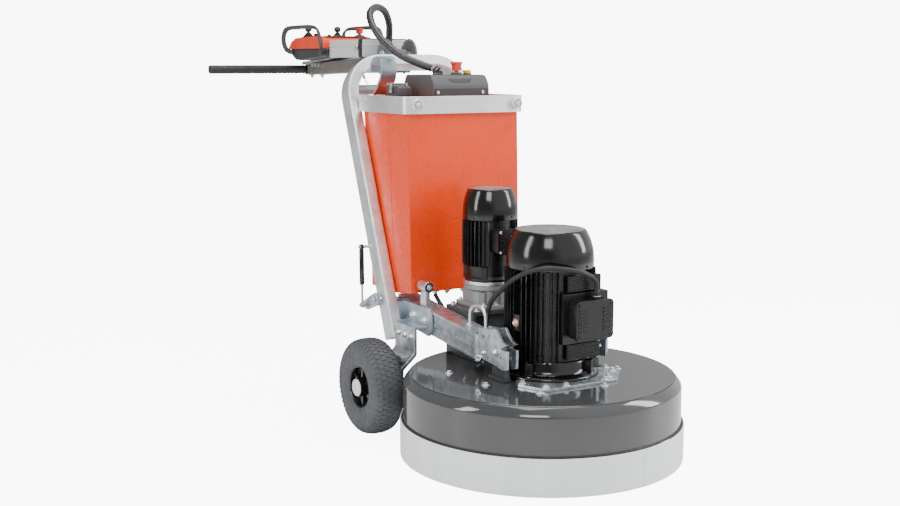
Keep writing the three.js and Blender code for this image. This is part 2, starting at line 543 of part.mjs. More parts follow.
function addTiller() {
  const outline = [[TILLER_Y - 19, TILLER_Z + 4], [TILLER_Y - 12, TILLER_Z + 15], [TILLER_Y + 4, TILLER_Z + 19],
    [TILLER_Y + 40, 1184], [ARM_END_Y - 17, armZ(ARM_END_Y) + 22], [ARM_END_Y - 17, armZ(ARM_END_Y) - 22],
    [TILLER_Y + 50, 1130], [TILLER_Y + 10, 1146], [TILLER_Y - 4, 1168], [TILLER_Y - 17, TILLER_Z - 8]];
  const beam = plate(outline, "x", [-ARM_HALF_WIDTH, ARM_HALF_WIDTH]);
  const pin = rod("x", 10, [-60, 60], [TILLER_Y, TILLER_Z], 14);
  const inlet = rod("z", 17, [1175, 1225], [2, 955], 12);
  add("tiller_arm", join(beam, pin, inlet), DARK_GREY);
  const bar = rod("x", 14, [-BAR_HALF_LENGTH, BAR_HALF_LENGTH], [ARM_END_Y, BAR_Z], 16);
  const saddle = box([-ARM_HALF_WIDTH, ARM_HALF_WIDTH], [ARM_END_Y - 17 + GAP, ARM_END_Y + 10], [BAR_Z - 20, BAR_Z + 18]);
  add("t_bar", join(bar, saddle), BLACK_PAINT);
  for (const [side, word] of [[-1, "left"], [1, "right"]]) {
    const sleeve = rod("x", 16, across(side, BAR_HALF_LENGTH - 140, BAR_HALF_LENGTH + 3), [ARM_END_Y, BAR_Z], 16);
    const core = rod("x", 14.3, across(side, BAR_HALF_LENGTH - 150, BAR_HALF_LENGTH + GAP), [ARM_END_Y, BAR_Z], 16);
    add(`grip_${word}`, cut(sleeve, core), BLACK_RUBBER);
  }
}

// ---- Radio remote in its cradle on the tiller ----
const LEVER_PLACES = [[-62, "left"], [62, "right"]];
const LEVER_Y = 1490;
const REMOTE_ESTOP = [80, 1335];

function addRemote() {
  const cradle = box([-88, 88], [980, 1254], [1178, 1240]);
  const tray = plate([[1200, 1184], [1560, 1152], [1560, 1163], [1262, 1181.5], [1253, 1184]], "x", [-60, 60]);
  const clear = plate([[800, 1194], [930, 1184.4], [ARM_END_Y - 17, armZ(ARM_END_Y) + 22.4], [1700, 1100], [800, 1100]],
    "x", [-ARM_HALF_WIDTH - 40, ARM_HALF_WIDTH + 40]);
  add("remote_cradle", cut(join(cradle, tray), clear), LIGHT_GREY);
  const pan = plate([[1262, 1182], [1590, 1162], [1590, 1214], [1262, 1214]], "x", [-104, 104]);
  const guard = (side) => bent([[side * 100, 1268, 1200], [side * 122, 1250, 1196], [side * 128, 1238, 1222],
    [side * 128, 1262, 1274], [side * 128, 1310, 1290], [side * 128, 1450, 1292], [side * 128, 1548, 1286],
    [side * 128, 1578, 1250], [side * 120, 1572, 1212], [side * 98, 1562, 1198]], 9, 6, 20);
  add("remote_base", join(pan, guard(-1), guard(1)), DARK_PLASTIC);
  const lid = plate([[1268, 1214 + GAP], [1276, 1250], [1320, 1258], [1520, 1254], [1576, 1230], [1584, 1214 + GAP]], "x",
    [-98, 98]);
  const wells = LEVER_PLACES.map(([x]) => rod("z", 22, [1232, 1280], [x, LEVER_Y], 14));
  const well = rod("z", 8, [1232, 1280], REMOTE_ESTOP, 12);
  add("remote_cover", cut(lid, ...wells, well), ORANGE);
  for (const [x, word] of LEVER_PLACES) {
    const stick = turned([[0, 1236], [9, 1238], [9, 1245], [6, 1250], [6, 1278], [13, 1284], [12, 1296], [0, 1299]], 12, x,
      LEVER_Y);
    add(`joystick_${word}`, stick, ORANGE);
  }
  const stop = turned([[0, 1240], [7, 1240], [7, 1266], [17, 1268], [17, 1284], [0, 1288]], 14, ...REMOTE_ESTOP);
  add("remote_estop", stop, RED);
}

// ---- Assembly ----
addHeadCover();
addMainMotor();
addMainRotor();
addMotorPlate();
addSmallMotor();
addDrive();
addDiscs();
addHoop();
for (const [side, word] of [[-1, "left"], [1, "right"]]) {
  addPivot(side, word);
  addBeam(side, word);
  addAxleBracket(side, word);
  addWheel(side, word);
}
addLever();
addCabinet();
addTopRail();
addConsole();
addCables();
addSectors();
addTiller();
addRemote();

export default grinder;
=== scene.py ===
"""Looks of a planetary floor grinder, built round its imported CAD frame.

The drawing is in millimetres; Blender is in metres.
"""

import math

import bpy
import bmesh
from mathutils import Matrix, Vector


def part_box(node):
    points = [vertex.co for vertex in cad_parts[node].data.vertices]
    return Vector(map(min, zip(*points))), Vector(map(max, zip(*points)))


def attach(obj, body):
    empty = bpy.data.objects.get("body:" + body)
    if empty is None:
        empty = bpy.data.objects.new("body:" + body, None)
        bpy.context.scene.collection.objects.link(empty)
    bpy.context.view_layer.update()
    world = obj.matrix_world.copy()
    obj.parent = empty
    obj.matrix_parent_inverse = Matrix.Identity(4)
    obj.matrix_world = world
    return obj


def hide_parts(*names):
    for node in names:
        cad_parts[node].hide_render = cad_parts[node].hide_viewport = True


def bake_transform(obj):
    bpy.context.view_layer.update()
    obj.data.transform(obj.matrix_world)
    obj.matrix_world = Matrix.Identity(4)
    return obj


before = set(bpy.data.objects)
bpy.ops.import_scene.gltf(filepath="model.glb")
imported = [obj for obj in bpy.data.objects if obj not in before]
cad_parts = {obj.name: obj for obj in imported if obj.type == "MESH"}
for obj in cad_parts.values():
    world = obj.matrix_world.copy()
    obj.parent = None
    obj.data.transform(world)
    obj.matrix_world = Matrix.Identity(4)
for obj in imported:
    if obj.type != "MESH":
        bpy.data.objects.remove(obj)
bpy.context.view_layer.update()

# ---- Where things are: the drawing's origin is on the head's axis, which the frame locates ----
skirt_low, skirt_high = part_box("dust_skirt")
HEAD_AXIS = Vector((0, (skirt_low.y + skirt_high.y) / 2, 0))
MM = 0.001
FRAME_LEAN = math.radians(21.3)
FRAME_FOOT_Y = 355
BEAM_SLOPE = 0.097
BEAM_ZERO_Z = 316.9
MOTOR = (4, -32)
PIVOT = (-24.7, 329.7)
COVER_TOP = 245
SMALL_MOTOR_Y = 288
WHEEL_Y = 430
WHEEL_RADIUS = 152
TILLER = (890, 1188)
ARM_END_Y = 1580
BAR_Z = 1134
LEANING = Matrix.Translation((0, FRAME_FOOT_Y, 0)) @ Matrix.Rotation(-FRAME_LEAN, 4, "X")
SIDES = ((-1, "left"), (1, "right"))


def place(point):
    """A drawing point in millimetres as a row-frame point in metres."""
    return Vector(point) * MM + HEAD_AXIS


# ---- Camera, floor and light ----
# The backdrop is brighter where it is seen directly than where it lights the object, so it stays near white.
SKY_SEEN = 9.0
SKY_LIGHT = 1.1
FLOOR_SEEN = 8.0
BRIGHT_SIDE = (0.857, -0.515, 0.35)
DARK_WALL = 0.20
BACK_WALL = 0.30
CAMERA_AT = (-2115.8, -2989.4, 1158.6)
CAMERA_AZIMUTH = math.radians(-31)
CAMERA_PITCH = math.radians(8.647)


def make_camera():
    data = bpy.data.cameras.new("camera")
    data.lens = 50
    data.sensor_width = 36
    data.clip_end = 50
    camera = bpy.data.objects.new("camera", data)
    ahead = Vector((-math.sin(CAMERA_AZIMUTH) * math.cos(CAMERA_PITCH),
                    math.cos(CAMERA_AZIMUTH) * math.cos(CAMERA_PITCH), -math.sin(CAMERA_PITCH)))
    camera.rotation_euler = ahead.to_track_quat("-Z", "Y").to_euler()
    camera.location = place(CAMERA_AT)
    bpy.context.scene.collection.objects.link(camera)
    bpy.context.scene.camera = camera


def make_light(name, at, size, watts, aim=(0, 300, 500), tint=(1, 1, 1)):
    data = bpy.data.lights.new(name, "AREA")
    data.shape = "RECTANGLE"
    data.size, data.size_y = size
    data.energy = watts
    data.color = tint
    lamp = bpy.data.objects.new(name, data)
    lamp.location = place(at)
    lamp.rotation_euler = (place(aim) - lamp.location).to_track_quat("-Z", "Y").to_euler()
    bpy.context.scene.collection.objects.link(lamp)


def seen_directly(tree, seen, reflected):
    """One strength where the backdrop is seen directly, and another where it lights the object."""
    path = tree.nodes.new("ShaderNodeLightPath")
    blend = tree.nodes.new("ShaderNodeMapRange")
    blend.inputs["To Min"].default_value = reflected
    blend.inputs["To Max"].default_value = seen
    tree.links.new(path.outputs["Is Camera Ray"], blend.inputs["Value"])
    return blend.outputs["Result"]


def make_stage():
    world = bpy.data.worlds.new("studio")
    bpy.context.scene.world = world
    world.use_nodes = True
    tree = world.node_tree
    background = tree.nodes["Background"]
    coordinates = tree.nodes.new("ShaderNodeTexCoord")
    side = tree.nodes.new("ShaderNodeVectorMath")
    side.operation = "DOT_PRODUCT"
    side.inputs[1].default_value = BRIGHT_SIDE
    tree.links.new(coordinates.outputs["Generated"], side.inputs[0])
    spread = tree.nodes.new("ShaderNodeMapRange")
    spread.inputs["From Min"].default_value = -0.35
    spread.inputs["From Max"].default_value = 0.55
    tree.links.new(side.outputs["Value"], spread.inputs["Value"])
    walls = ramp(tree, spread.outputs["Result"], [(0.0, BACK_WALL), (0.38, DARK_WALL), (1.0, 1)])
    path = tree.nodes.new("ShaderNodeLightPath")
    choice = tree.nodes.new("ShaderNodeMixRGB")
    choice.inputs["Color2"].default_value = (1, 1, 1, 1)
    tree.links.new(path.outputs["Is Camera Ray"], choice.inputs["Fac"])
    tree.links.new(walls, choice.inputs["Color1"])
    tree.links.new(choice.outputs["Color"], background.inputs["Color"])
    tree.links.new(seen_directly(tree, SKY_SEEN, SKY_LIGHT), background.inputs["Strength"])
    bm = bmesh.new()
    bmesh.ops.create_grid(bm, x_segments=1, y_segments=1, size=400)
    floor = mesh_object("floor", bm)
    floor.location.z = -0.0005
    floor.data.materials.append(floor_material())
    make_light("key", (-2600, -3000, 3300), (1.6, 1.6), 85)
    make_light("left_strip", (-3400, 600, 1900), (0.7, 2.6), 60)
    make_light("right_strip", (3000, -1400, 2100), (0.8, 2.6), 90)
    make_light("top", (0, 300, 4000), (2.6, 2.6), 110)


# ---- Materials ----
def node_material(name):
    material = bpy.data.materials.new(name)
    material.use_nodes = True
    tree = material.node_tree
    return material, tree, tree.nodes["Principled BSDF"]


def noise(tree, scale, detail=3.0, stretch=None):
    coordinates = tree.nodes.new("ShaderNodeTexCoord")
    texture = tree.nodes.new("ShaderNodeTexNoise")
    texture.inputs["Scale"].default_value = scale
    texture.inputs["Detail"].default_value = detail
    if stretch:
        mapping = tree.nodes.new("ShaderNodeMapping")
        mapping.inputs["Scale"].default_value = stretch
        tree.links.new(coordinates.outputs["Object"], mapping.inputs["Vector"])
        tree.links.new(mapping.outputs["Vector"], texture.inputs["Vector"])
    else:
        tree.links.new(coordinates.outputs["Object"], texture.inputs["Vector"])
    return texture.outputs["Fac"]


def ramp(tree, source, stops):
    node = tree.nodes.new("ShaderNodeValToRGB")
    while len(node.color_ramp.elements) < len(stops):
        node.color_ramp.elements.new(0.5)
    for element, (position, value) in zip(node.color_ramp.elements, stops):
        element.position = position
        element.color = (*value, 1) if hasattr(value, "__len__") else (value, value, value, 1)
    tree.links.new(source, node.inputs["Fac"])
    return node.outputs["Color"]


def bump(tree, shader, source, strength, distance):
    node = tree.nodes.new("ShaderNodeBump")
    node.inputs["Strength"].default_value = strength
    node.inputs["Distance"].default_value = distance
    tree.links.new(source, node.inputs["Height"])
    tree.links.new(node.outputs["Normal"], shader.inputs["Normal"])


def shade(colour, factor):
    return tuple(min(1.0, c * factor) for c in colour)


def paint(name, colour, roughness, coat=0.0, metallic=0.0, spread=0.08, grain=700, grain_depth=0.00006,
          patch=5.0):
    """Paint or moulded plastic: a slow drift in tone and gloss, and a fine texture of its own scale."""
    material, tree, shader = node_material(name)
    drift = noise(tree, patch, 4.0)
    tree.links.new(ramp(tree, drift, [(0.3, shade(colour, 1 - spread)), (0.7, shade(colour, 1 + spread))]),
                   shader.inputs["Base Color"])
    tree.links.new(ramp(tree, noise(tree, patch * 5, 5.0),
                        [(0.35, roughness * 0.8), (0.7, roughness * 1.25)]),
                   shader.inputs["Roughness"])
    shader.inputs["Metallic"].default_value = metallic
    shader.inputs["Coat Weight"].default_value = coat
    shader.inputs["Coat Roughness"].default_value = 0.06
    bump(tree, shader, noise(tree, grain, 2.0), 0.35, grain_depth)
    return material


def zinc(name, light=(0.66, 0.70, 0.73), dark=(0.36, 0.42, 0.47), roughness=0.30, scale=38, stretch=None):
    """Zinc plate: a cloudy grey-blue film with small spangles and dull patches."""
    material, tree, shader = node_material(name)
    cloud = noise(tree, scale, 6.0, stretch)
    tree.links.new(ramp(tree, cloud, [(0.33, dark), (0.62, light)]), shader.inputs["Base Color"])
    tree.links.new(ramp(tree, noise(tree, scale * 0.35, 3.0),
                        [(0.3, roughness * 0.75), (0.7, roughness * 1.4)]),
                   shader.inputs["Roughness"])
    shader.inputs["Metallic"].default_value = 0.9
    bump(tree, shader, noise(tree, 420, 3.0, stretch), 0.25, 0.00008)
    return material


def floor_material():
    material, tree, shader = node_material("floor")
    tree.links.new(ramp(tree, noise(tree, 2.0), [(0.3, (0.93, 0.93, 0.93)), (0.7, (0.95, 0.95, 0.95))]),
                   shader.inputs["Base Color"])
    shader.inputs["Roughness"].default_value = 0.55
    shader.inputs["Emission Color"].default_value = (1, 1, 1, 1)
    tree.links.new(seen_directly(tree, FLOOR_SEEN, 0.0), shader.inputs["Emission Strength"])
    return material


def striped_skirt(name):
    """The pale dust skirt: stiff sheet with a faint vertical brush grain."""
    material, tree, shader = node_material(name)
    streaks = noise(tree, 22, 3.0, (1.0, 1.0, 0.2))
    tree.links.new(ramp(tree, streaks, [(0.35, (0.84, 0.85, 0.865)), (0.65, (0.90, 0.91, 0.92))]),
                   shader.inputs["Base Color"])
    shader.inputs["Roughness"].default_value = 0.5
    shader.inputs["Subsurface Weight"].default_value = 0.05
    bump(tree, shader, streaks, 0.2, 0.0002)
    return material


GRAPHITE = paint("graphite_gloss", (0.052, 0.053, 0.055), 0.10, coat=0.5, spread=0.05, grain=260,
                 grain_depth=0.00004)
PEDESTAL = paint("graphite_satin", (0.05, 0.052, 0.056), 0.35, coat=0.2)
ARM_PAINT = paint("arm_taupe", (0.15, 0.138, 0.127), 0.38, coat=0.15, metallic=0.1)
BLACK = paint("black_enamel", (0.004, 0.004, 0.0045), 0.16, coat=0.15, spread=0.2, grain=320,
              grain_depth=0.00005)
BLACK_CAST = paint("black_casting", (0.005, 0.005, 0.0055), 0.32, coat=0.0, spread=0.25, grain=520,
                   grain_depth=0.00018)
ORANGE = paint("orange_enamel", (0.88, 0.052, 0.0), 0.30, coat=0.1, spread=0.02, grain=300,
               grain_depth=0.00003)
ORANGE_PLASTIC = paint("orange_plastic", (0.78, 0.048, 0.0), 0.30, coat=0.1, spread=0.05)
CONSOLE = paint("console_grey", (0.075, 0.078, 0.08), 0.42, spread=0.08, grain=1300, grain_depth=0.0001)
DARK_PLASTIC = paint("dark_plastic", (0.035, 0.036, 0.038), 0.45, spread=0.12, grain=1200, grain_depth=0.0001)
PALE_PLASTIC = paint("pale_plastic", (0.56, 0.565, 0.56), 0.38, spread=0.04, grain=900)
GREY_CASTING = paint("grey_casting", (0.30, 0.31, 0.31), 0.42, metallic=0.3, spread=0.1, grain=420,
                     grain_depth=0.0002)
SECTOR_GREY = paint("sector_grey", (0.17, 0.175, 0.18), 0.4, metallic=0.4, spread=0.08)
RUBBER = paint("black_rubber", (0.016, 0.016, 0.017), 0.6, spread=0.2, grain=900, grain_depth=0.00015)
CONDUIT_SKIN = paint("conduit_skin", (0.014, 0.014, 0.015), 0.32, coat=0.25, spread=0.15)
TYRE = paint("tyre_grey", (0.075, 0.08, 0.086), 0.68, spread=0.14, grain=700, grain_depth=0.0003, patch=12)
RIM = paint("rim_black", (0.006, 0.006, 0.0065), 0.25, coat=0.2, spread=0.2)
WHITE_CAP = paint("hub_cap_white", (0.82, 0.82, 0.82), 0.3, coat=0.2, spread=0.03)
RED = paint("button_red", (0.72, 0.022, 0.012), 0.22, coat=0.5, spread=0.05)
YELLOW = paint("button_yellow", (0.86, 0.58, 0.02), 0.3, coat=0.3, spread=0.05)
GREEN = paint("collar_green", (0.02, 0.18, 0.04), 0.35, spread=0.08)
COPPER = zinc("copper_washer", (0.62, 0.30, 0.20), (0.42, 0.17, 0.10), 0.4)
ZINC = zinc("zinc_plate")
ZINC_BLUE = zinc("zinc_blue", (0.52, 0.60, 0.65), (0.36, 0.45, 0.51), 0.36, 26)
ZINC_BRIGHT = zinc("zinc_bright", (0.86, 0.88, 0.89), (0.68, 0.72, 0.75), 0.27)
FRAME_METAL = zinc("frame_galvanised", (0.80, 0.81, 0.82), (0.62, 0.64, 0.66), 0.42, 22)
# A darker copy of the galvanised frame zinc: painted shade, the grey of the frame's shaded side; used on the
# cross tube and the rail rings.
FRAME_SHADED = zinc("frame_galvanised_painted_shade", (0.44, 0.455, 0.46), (0.36, 0.375, 0.385), 0.5, 14)
ALUMINIUM = zinc("satin_aluminium", (0.86, 0.865, 0.87), (0.76, 0.77, 0.78), 0.36, 16, (1, 1, 14))
STEEL = zinc("machined_steel", (0.64, 0.65, 0.66), (0.46, 0.47, 0.48), 0.3, 30, (1, 1, 10))
SEGMENT = paint("diamond_segment", (0.16, 0.145, 0.12), 0.7, metallic=0.4, spread=0.3, grain=1500,
                grain_depth=0.0004)
SKIRT = striped_skirt("dust_skirt_pale")
MESH_GREY = zinc("grille_wire", (0.60, 0.61, 0.62), (0.46, 0.47, 0.48), 0.35)


# ---- Mesh helpers: each adds to a bmesh, in drawing millimetres ----
def mesh_object(name, bm):
    mesh = bpy.data.meshes.new(name)
    bm.to_mesh(mesh)
    bm.free()
    made = bpy.data.objects.new(name, mesh)
    bpy.context.scene.collection.objects.link(made)
    return made


def circle(radius, count, centre=(0, 0), start=0.0, sweep=2 * math.pi):
    steps = count if abs(sweep) > 2 * math.pi - 1e-6 else count - 1
    return [(centre[0] + radius * math.cos(start + sweep * i / steps),
             centre[1] + radius * math.sin(start + sweep * i / steps)) for i in range(count)]


AXES = {"x": lambda u, v, w: (w, u, v), "y": lambda u, v, w: (u, w, v), "z": lambda u, v, w: (u, v, w)}


def prism(bm, outline, axis, low, high, matrix=Matrix(), holes=()):
    """An outline pushed along an axis, with round or any other holes cut as bridged rings."""
    def ring_at(points, w):
        return [bm.verts.new(matrix @ Vector(AXES[axis](u, v, w))) for u, v in points]

    loops = [outline, *holes]
    ends = []
    for w in (low, high):
        rings = [ring_at(points, w) for points in loops]
        edges = [bm.edges.new((ring[i - 1], ring[i])) for ring in rings for i in range(len(ring))]
        bmesh.ops.triangle_fill(bm, use_beauty=True, use_dissolve=True, edges=edges)
        ends.append(rings)
    for near, far in zip(*ends):
        for i in range(len(near)):
            bm.faces.new((near[i - 1], near[i], far[i], far[i - 1]))


def box(bm, x, y, z, matrix=Matrix()):
    prism(bm, [(x[0], y[0]), (x[1], y[0]), (x[1], y[1]), (x[0], y[1])], "z", z[0], z[1], matrix)


def lathe(bm, profile, count, matrix=Matrix(), sweep=2 * math.pi):
    """[radius, height] points turned about Z. A profile that isn't on the axis at both ends is closed."""
    closed = profile[0][0] > 1e-6 or profile[-1][0] > 1e-6
    rows = []
    for radius, height in profile:
        if radius < 1e-6:
            rows.append([bm.verts.new(matrix @ Vector((0, 0, height)))] * count)
        else:
            rows.append([bm.verts.new(matrix @ Vector((radius * math.cos(sweep * i / count),
                                                       radius * math.sin(sweep * i / count), height)))
                         for i in range(count)])
    pairs = list(zip(rows, rows[1:])) + ([(rows[-1], rows[0])] if closed else [])
    for low, high in pairs:
        for i in range(count):
            corners = [low[i - 1], low[i], high[i], high[i - 1]]
            unique = list(dict.fromkeys(corners))
            if len(unique) > 2:
                bm.faces.new(unique)


def smooth_path(points, steps):
    """A Catmull-Rom curve through the points, as steps + 1 points."""
    knots = [Vector(p) for p in points]
    knots = [knots[0] * 2 - knots[1]] + knots + [knots[-1] * 2 - knots[-2]]
    found = []
    spans = len(points) - 1
    for i in range(steps + 1):
        t = spans * i / steps
        k = min(int(t), spans - 1)
        f = t - k
        a, b, c, d = knots[k:k + 4]
        found.append(0.5 * (2 * b + (c - a) * f + (2 * a - 5 * b + 4 * c - d) * f * f
                            + (3 * b - a - 3 * c + d) * f ** 3))
    return found


def sweep(bm, points, section, closed=False, up=Vector((0, 0, 1))):
    """A section of (side, up) points carried along a path, with its ends capped."""
    rows = []
    count = len(points)
    side = None
    for i, point in enumerate(points):
        before = points[i - 1] if i or closed else points[i]
        after = points[(i + 1) % count] if i < count - 1 or closed else points[i]
        along = (after - before).normalized()
        if side is None:
            side = along.cross(up) if abs(along.dot(up)) < 0.98 else along.orthogonal()
            side = side.normalized()
        side = (side - along * side.dot(along)).normalized()
        rise = side.cross(along)
        rows.append([bm.verts.new(point + side * u + rise * v) for u, v in section])
    size = len(section)
    for i in range(count if closed else count - 1):
        low, high = rows[i], rows[(i + 1) % count]
        for j in range(size):
            bm.faces.new((low[j - 1], low[j], high[j], high[j - 1]))
    if not closed:
        bm.faces.new(rows[0])
        bm.faces.new(list(reversed(rows[-1])))


def skin(bm, rows):
    """Joins rings of vertices in order, and caps the first and the last."""
    for low, high in zip(rows, rows[1:]):
        for j in range(len(low)):
            bm.faces.new((low[j - 1], low[j], high[j], high[j - 1]))
    bm.faces.new(rows[0])
    bm.faces.new(list(reversed(rows[-1])))


def rounded_rectangle(width, height, radius, corner_steps=4):
    points = []
    for k, (cx, cy) in enumerate(((1, 1), (-1, 1), (-1, -1), (1, -1))):
        centre = (cx * (width / 2 - radius), cy * (height / 2 - radius))
        points += circle(radius, corner_steps + 1, centre, k * math.pi / 2, math.pi / 2)
    return points


def pointing(at, direction):
    """A matrix that stands a thing drawn along +Z at a point, looking along a direction."""
    return Matrix.Translation(at) @ Vector(direction).to_track_quat("Z", "Y").to_matrix().to_4x4()


def hex_bolt(bm, at, direction, across_flats=13, head=6, washer=11, shank=0):
    """A hexagon head on a washer, standing on the face it clamps."""
    stand = pointing(at, direction)
    lathe(bm, [(0, -0.5), (washer, -0.5), (washer, 1.2), (washer - 0.6, 1.8), (0, 1.8)], 24, stand)
    corner = across_flats / math.sqrt(3)
    prism(bm, circle(corner, 6), "z", 1.6, 1.6 + head - 0.8, stand)
    lathe(bm, [(0, 1.6 + head - 0.9), (corner * 0.9, 1.6 + head - 0.9), (corner * 0.72, 1.6 + head),
               (0, 1.6 + head)],
          18, stand)
    if shank:
        lathe(bm, [(0, -shank), (across_flats * 0.3, -shank), (across_flats * 0.3, 0), (0, 0)], 16, stand)


def stud_and_nut(bm, at, direction, thread=8, nut=13, stand_out=8):
    """A threaded end standing out of a nut on its washer."""
    hex_bolt(bm, at, direction, nut, 7, nut * 0.95)
    stand = pointing(at, direction)
    rings = [(0, 6)]
    pitch = 1.25
    for i in range(int(stand_out / pitch)):
        rings += [(thread / 2, 6 + i * pitch), (thread / 2 - 0.6, 6 + (i + 0.5) * pitch)]
    rings.append((0, 6 + stand_out))
    lathe(bm, rings, 14, stand)


def cap_screw(bm, at, direction, head_radius=5, height=3):
    """A pan-head screw with a hexagon socket."""
    stand = pointing(at, direction)
    socket = head_radius * 0.42
    lathe(bm, [(0, height * 0.3), (socket, height * 0.3), (socket, height * 0.9),
               (head_radius * 0.75, height), (head_radius, height * 0.45), (head_radius, -0.4), (0, -0.4)],
               20, stand)


def piece(name, body, bm, material, slot=None, replaces=(), bevel=0.0, segments=2, sharp=35.0):
    """Turns a bmesh drawn in millimetres into a finished, smooth-shaded piece that rides on a body."""
    bmesh.ops.remove_doubles(bm, verts=bm.verts, dist=0.002)
    bmesh.ops.recalc_face_normals(bm, faces=bm.faces)
    made = mesh_object(name, bm)
    made.data.transform(Matrix.Translation(HEAD_AXIS) @ Matrix.Scale(MM, 4))
    made.data.polygons.foreach_set("use_smooth", [True] * len(made.data.polygons))
    made.data.set_sharp_from_angle(angle=math.radians(sharp))
    for entry in material if isinstance(material, (list, tuple)) else [material]:
        made.data.materials.append(entry)
    if bevel:
        modifier = made.modifiers.new("edge", "BEVEL")
        modifier.width = bevel * MM
        modifier.segments = segments
        modifier.limit_method = "ANGLE"
        modifier.angle_limit = math.radians(sharp)
        modifier.harden_normals = True
    if replaces:
        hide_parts(*replaces)
    if body:
        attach(made, body)
    return made


def turned(name, body, profile, count, *finish, at=Matrix(), **edges):
    """A piece that is one turned profile; finish and edges are what piece() takes after the drawing."""
    bm = bmesh.new()
    lathe(bm, profile, count, at)
    return piece(name, body, bm, *finish, **edges)


def pushed(name, body, shape, *finish, holes=(), **edges):
    """A piece that is one outline pushed along an axis; shape is (outline, axis, low, high)."""
    bm = bmesh.new()
    prism(bm, *shape, holes=holes)
    return piece(name, body, bm, *finish, **edges)


def dress(node, material, bevel=0.6):
    """A CAD node whose shape stays: welded for smooth edges, bevelled, and given its material."""
    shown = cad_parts[node]
    shown.data.materials.clear()
    shown.data.materials.append(material)
    weld = shown.modifiers.new("weld", "WELD")
    weld.merge_threshold = 0.00002
    if bevel:
        modifier = shown.modifiers.new("edge", "BEVEL")
        modifier.width = bevel * MM
        modifier.segments = 2
        modifier.limit_method = "ANGLE"
        modifier.angle_limit = math.radians(40)


def across(side, inner, outer):
    return (-outer, -inner) if side < 0 else (inner, outer)


def beam_z(y):
    return BEAM_ZERO_Z + BEAM_SLOPE * y


def moved(x, y, z):
    return Matrix.Translation((x, y, z))


# ---- Head: cover, seal and skirt ----
COVER_BOLTS = ((-232, -52), (-150, -205), (56, -232), (214, -92), (-250, 120), (236, 120))


def build_head():
    bm = bmesh.new()
    shell = [(56, 241), (388, 241), (409, 221), (412, 113), (416, 113), (416, 118), (415, 215),
             (414.5, 219), (413, 222.5), (397.5, 242.2), (396, 243), (394.5, 242.6), (394, 241.5),
             (392.6, 241.3), (392, 244.2), (390.6, 245), (56, 245)]
    lathe(bm, shell, 160)
    piece("cover_shell", "head", bm, GRAPHITE, "graphite_paint", ["head_cover"], sharp=28)
    turned("cover_seal", "head", [(412.5, 106.5), (419.6, 106.5), (420.6, 109.5), (417.8, 113),
                                  (412.5, 113)], 128, RUBBER, "black_rubber")
    bm = bmesh.new()
    lathe(bm, [(420.5, 0), (424.2, 0), (424.8, 3), (424.8, 104), (424, 107.2), (422.5, 108), (421, 106),
               (420.5, 100)], 160)
    start = math.radians(-83)
    strip = circle(425.6, 10, start=start, sweep=math.radians(2.9))
    strip += list(reversed(circle(424.4, 10, start=start, sweep=math.radians(2.9))))
    prism(bm, strip, "z", 1, 106)
    piece("skirt_wall", "head", bm, SKIRT, "skirt_pale", ["dust_skirt"], sharp=50)
    bm = bmesh.new()
    for x, y in COVER_BOLTS:
        hex_bolt(bm, (x, y, COVER_TOP), (0, 0, 1), 13, 7, 13)
    piece("cover_bolts", "head", bm, ZINC_BRIGHT, "zinc_steel", bevel=0.3)


def build_motor_plate():
    outline = [(-142, -72), (-166, -120), (-126, -212), (120, -212), (190, -132), (190, -72), (142, -72)]
    reach = 147
    start = math.asin((-72 - MOTOR[1]) / reach)
    outline += circle(reach, 30, MOTOR, start, -(math.pi + 2 * start))
    pushed("motor_plate_sheet", "head", (outline, "z", COVER_TOP, COVER_TOP + 8), ZINC, "zinc_steel",
           ["motor_plate"], bevel=1.2)
    bm = bmesh.new()
    for x, y in ((-116, -186), (-52, -196), (84, -196), (112, -178), (170, -122), (172, -86), (-146, -112)):
        hex_bolt(bm, (x, y, COVER_TOP + 8), (0, 0, 1), 13, 7, 12)
    piece("motor_plate_bolts", "head", bm, ZINC_BRIGHT, "zinc_steel", bevel=0.3)


# ---- Electric motors: finned body, cowl with its grille, terminal box ----
def motor_fins(bm, centre, core, tip, count, low, high, skip):
    """Thin radial fins, a little tapered, with their ends cut back; skip(angle) leaves room for the pads."""
    for i in range(count):
        angle = 2 * math.pi * (i + 0.5) / count
        if skip(math.degrees(angle) % 360):
            continue
        turn = moved(centre[0], centre[1], 0) @ Matrix.Rotation(angle, 4, "Z")
        outline = [(core - 2, low), (tip - 4, low), (tip, low + 6), (tip, high - 5), (tip - 4, high),
                   (core - 2, high)]
        near = [bm.verts.new(turn @ Vector((r, -1.7 + 0.55 * (r > core), z))) for r, z in outline]
        far = [bm.verts.new(turn @ Vector((r, 1.7 - 0.55 * (r > core), z))) for r, z in outline]
        bm.faces.new(near)
        bm.faces.new(list(reversed(far)))
        for k in range(len(outline)):
            bm.faces.new((near[k - 1], far[k - 1], far[k], near[k]))


def grille_bars(bm, centre, radius, height, pitch, bar, directions=(45, 135)):
    """Two layers of thin bars, cut to a circle."""
    for layer, degrees in enumerate(directions):
        turn = moved(centre[0], centre[1],
                     height - 0.8 * layer) @ Matrix.Rotation(math.radians(degrees), 4, "Z")
        count = int(radius / pitch)
        for k in range(-count, count + 1):
            reach = math.sqrt(max(radius ** 2 - (k * pitch) ** 2, 1))
            box(bm, (-reach, reach), (k * pitch - bar / 2, k * pitch + bar / 2), (0, 0.8), turn)


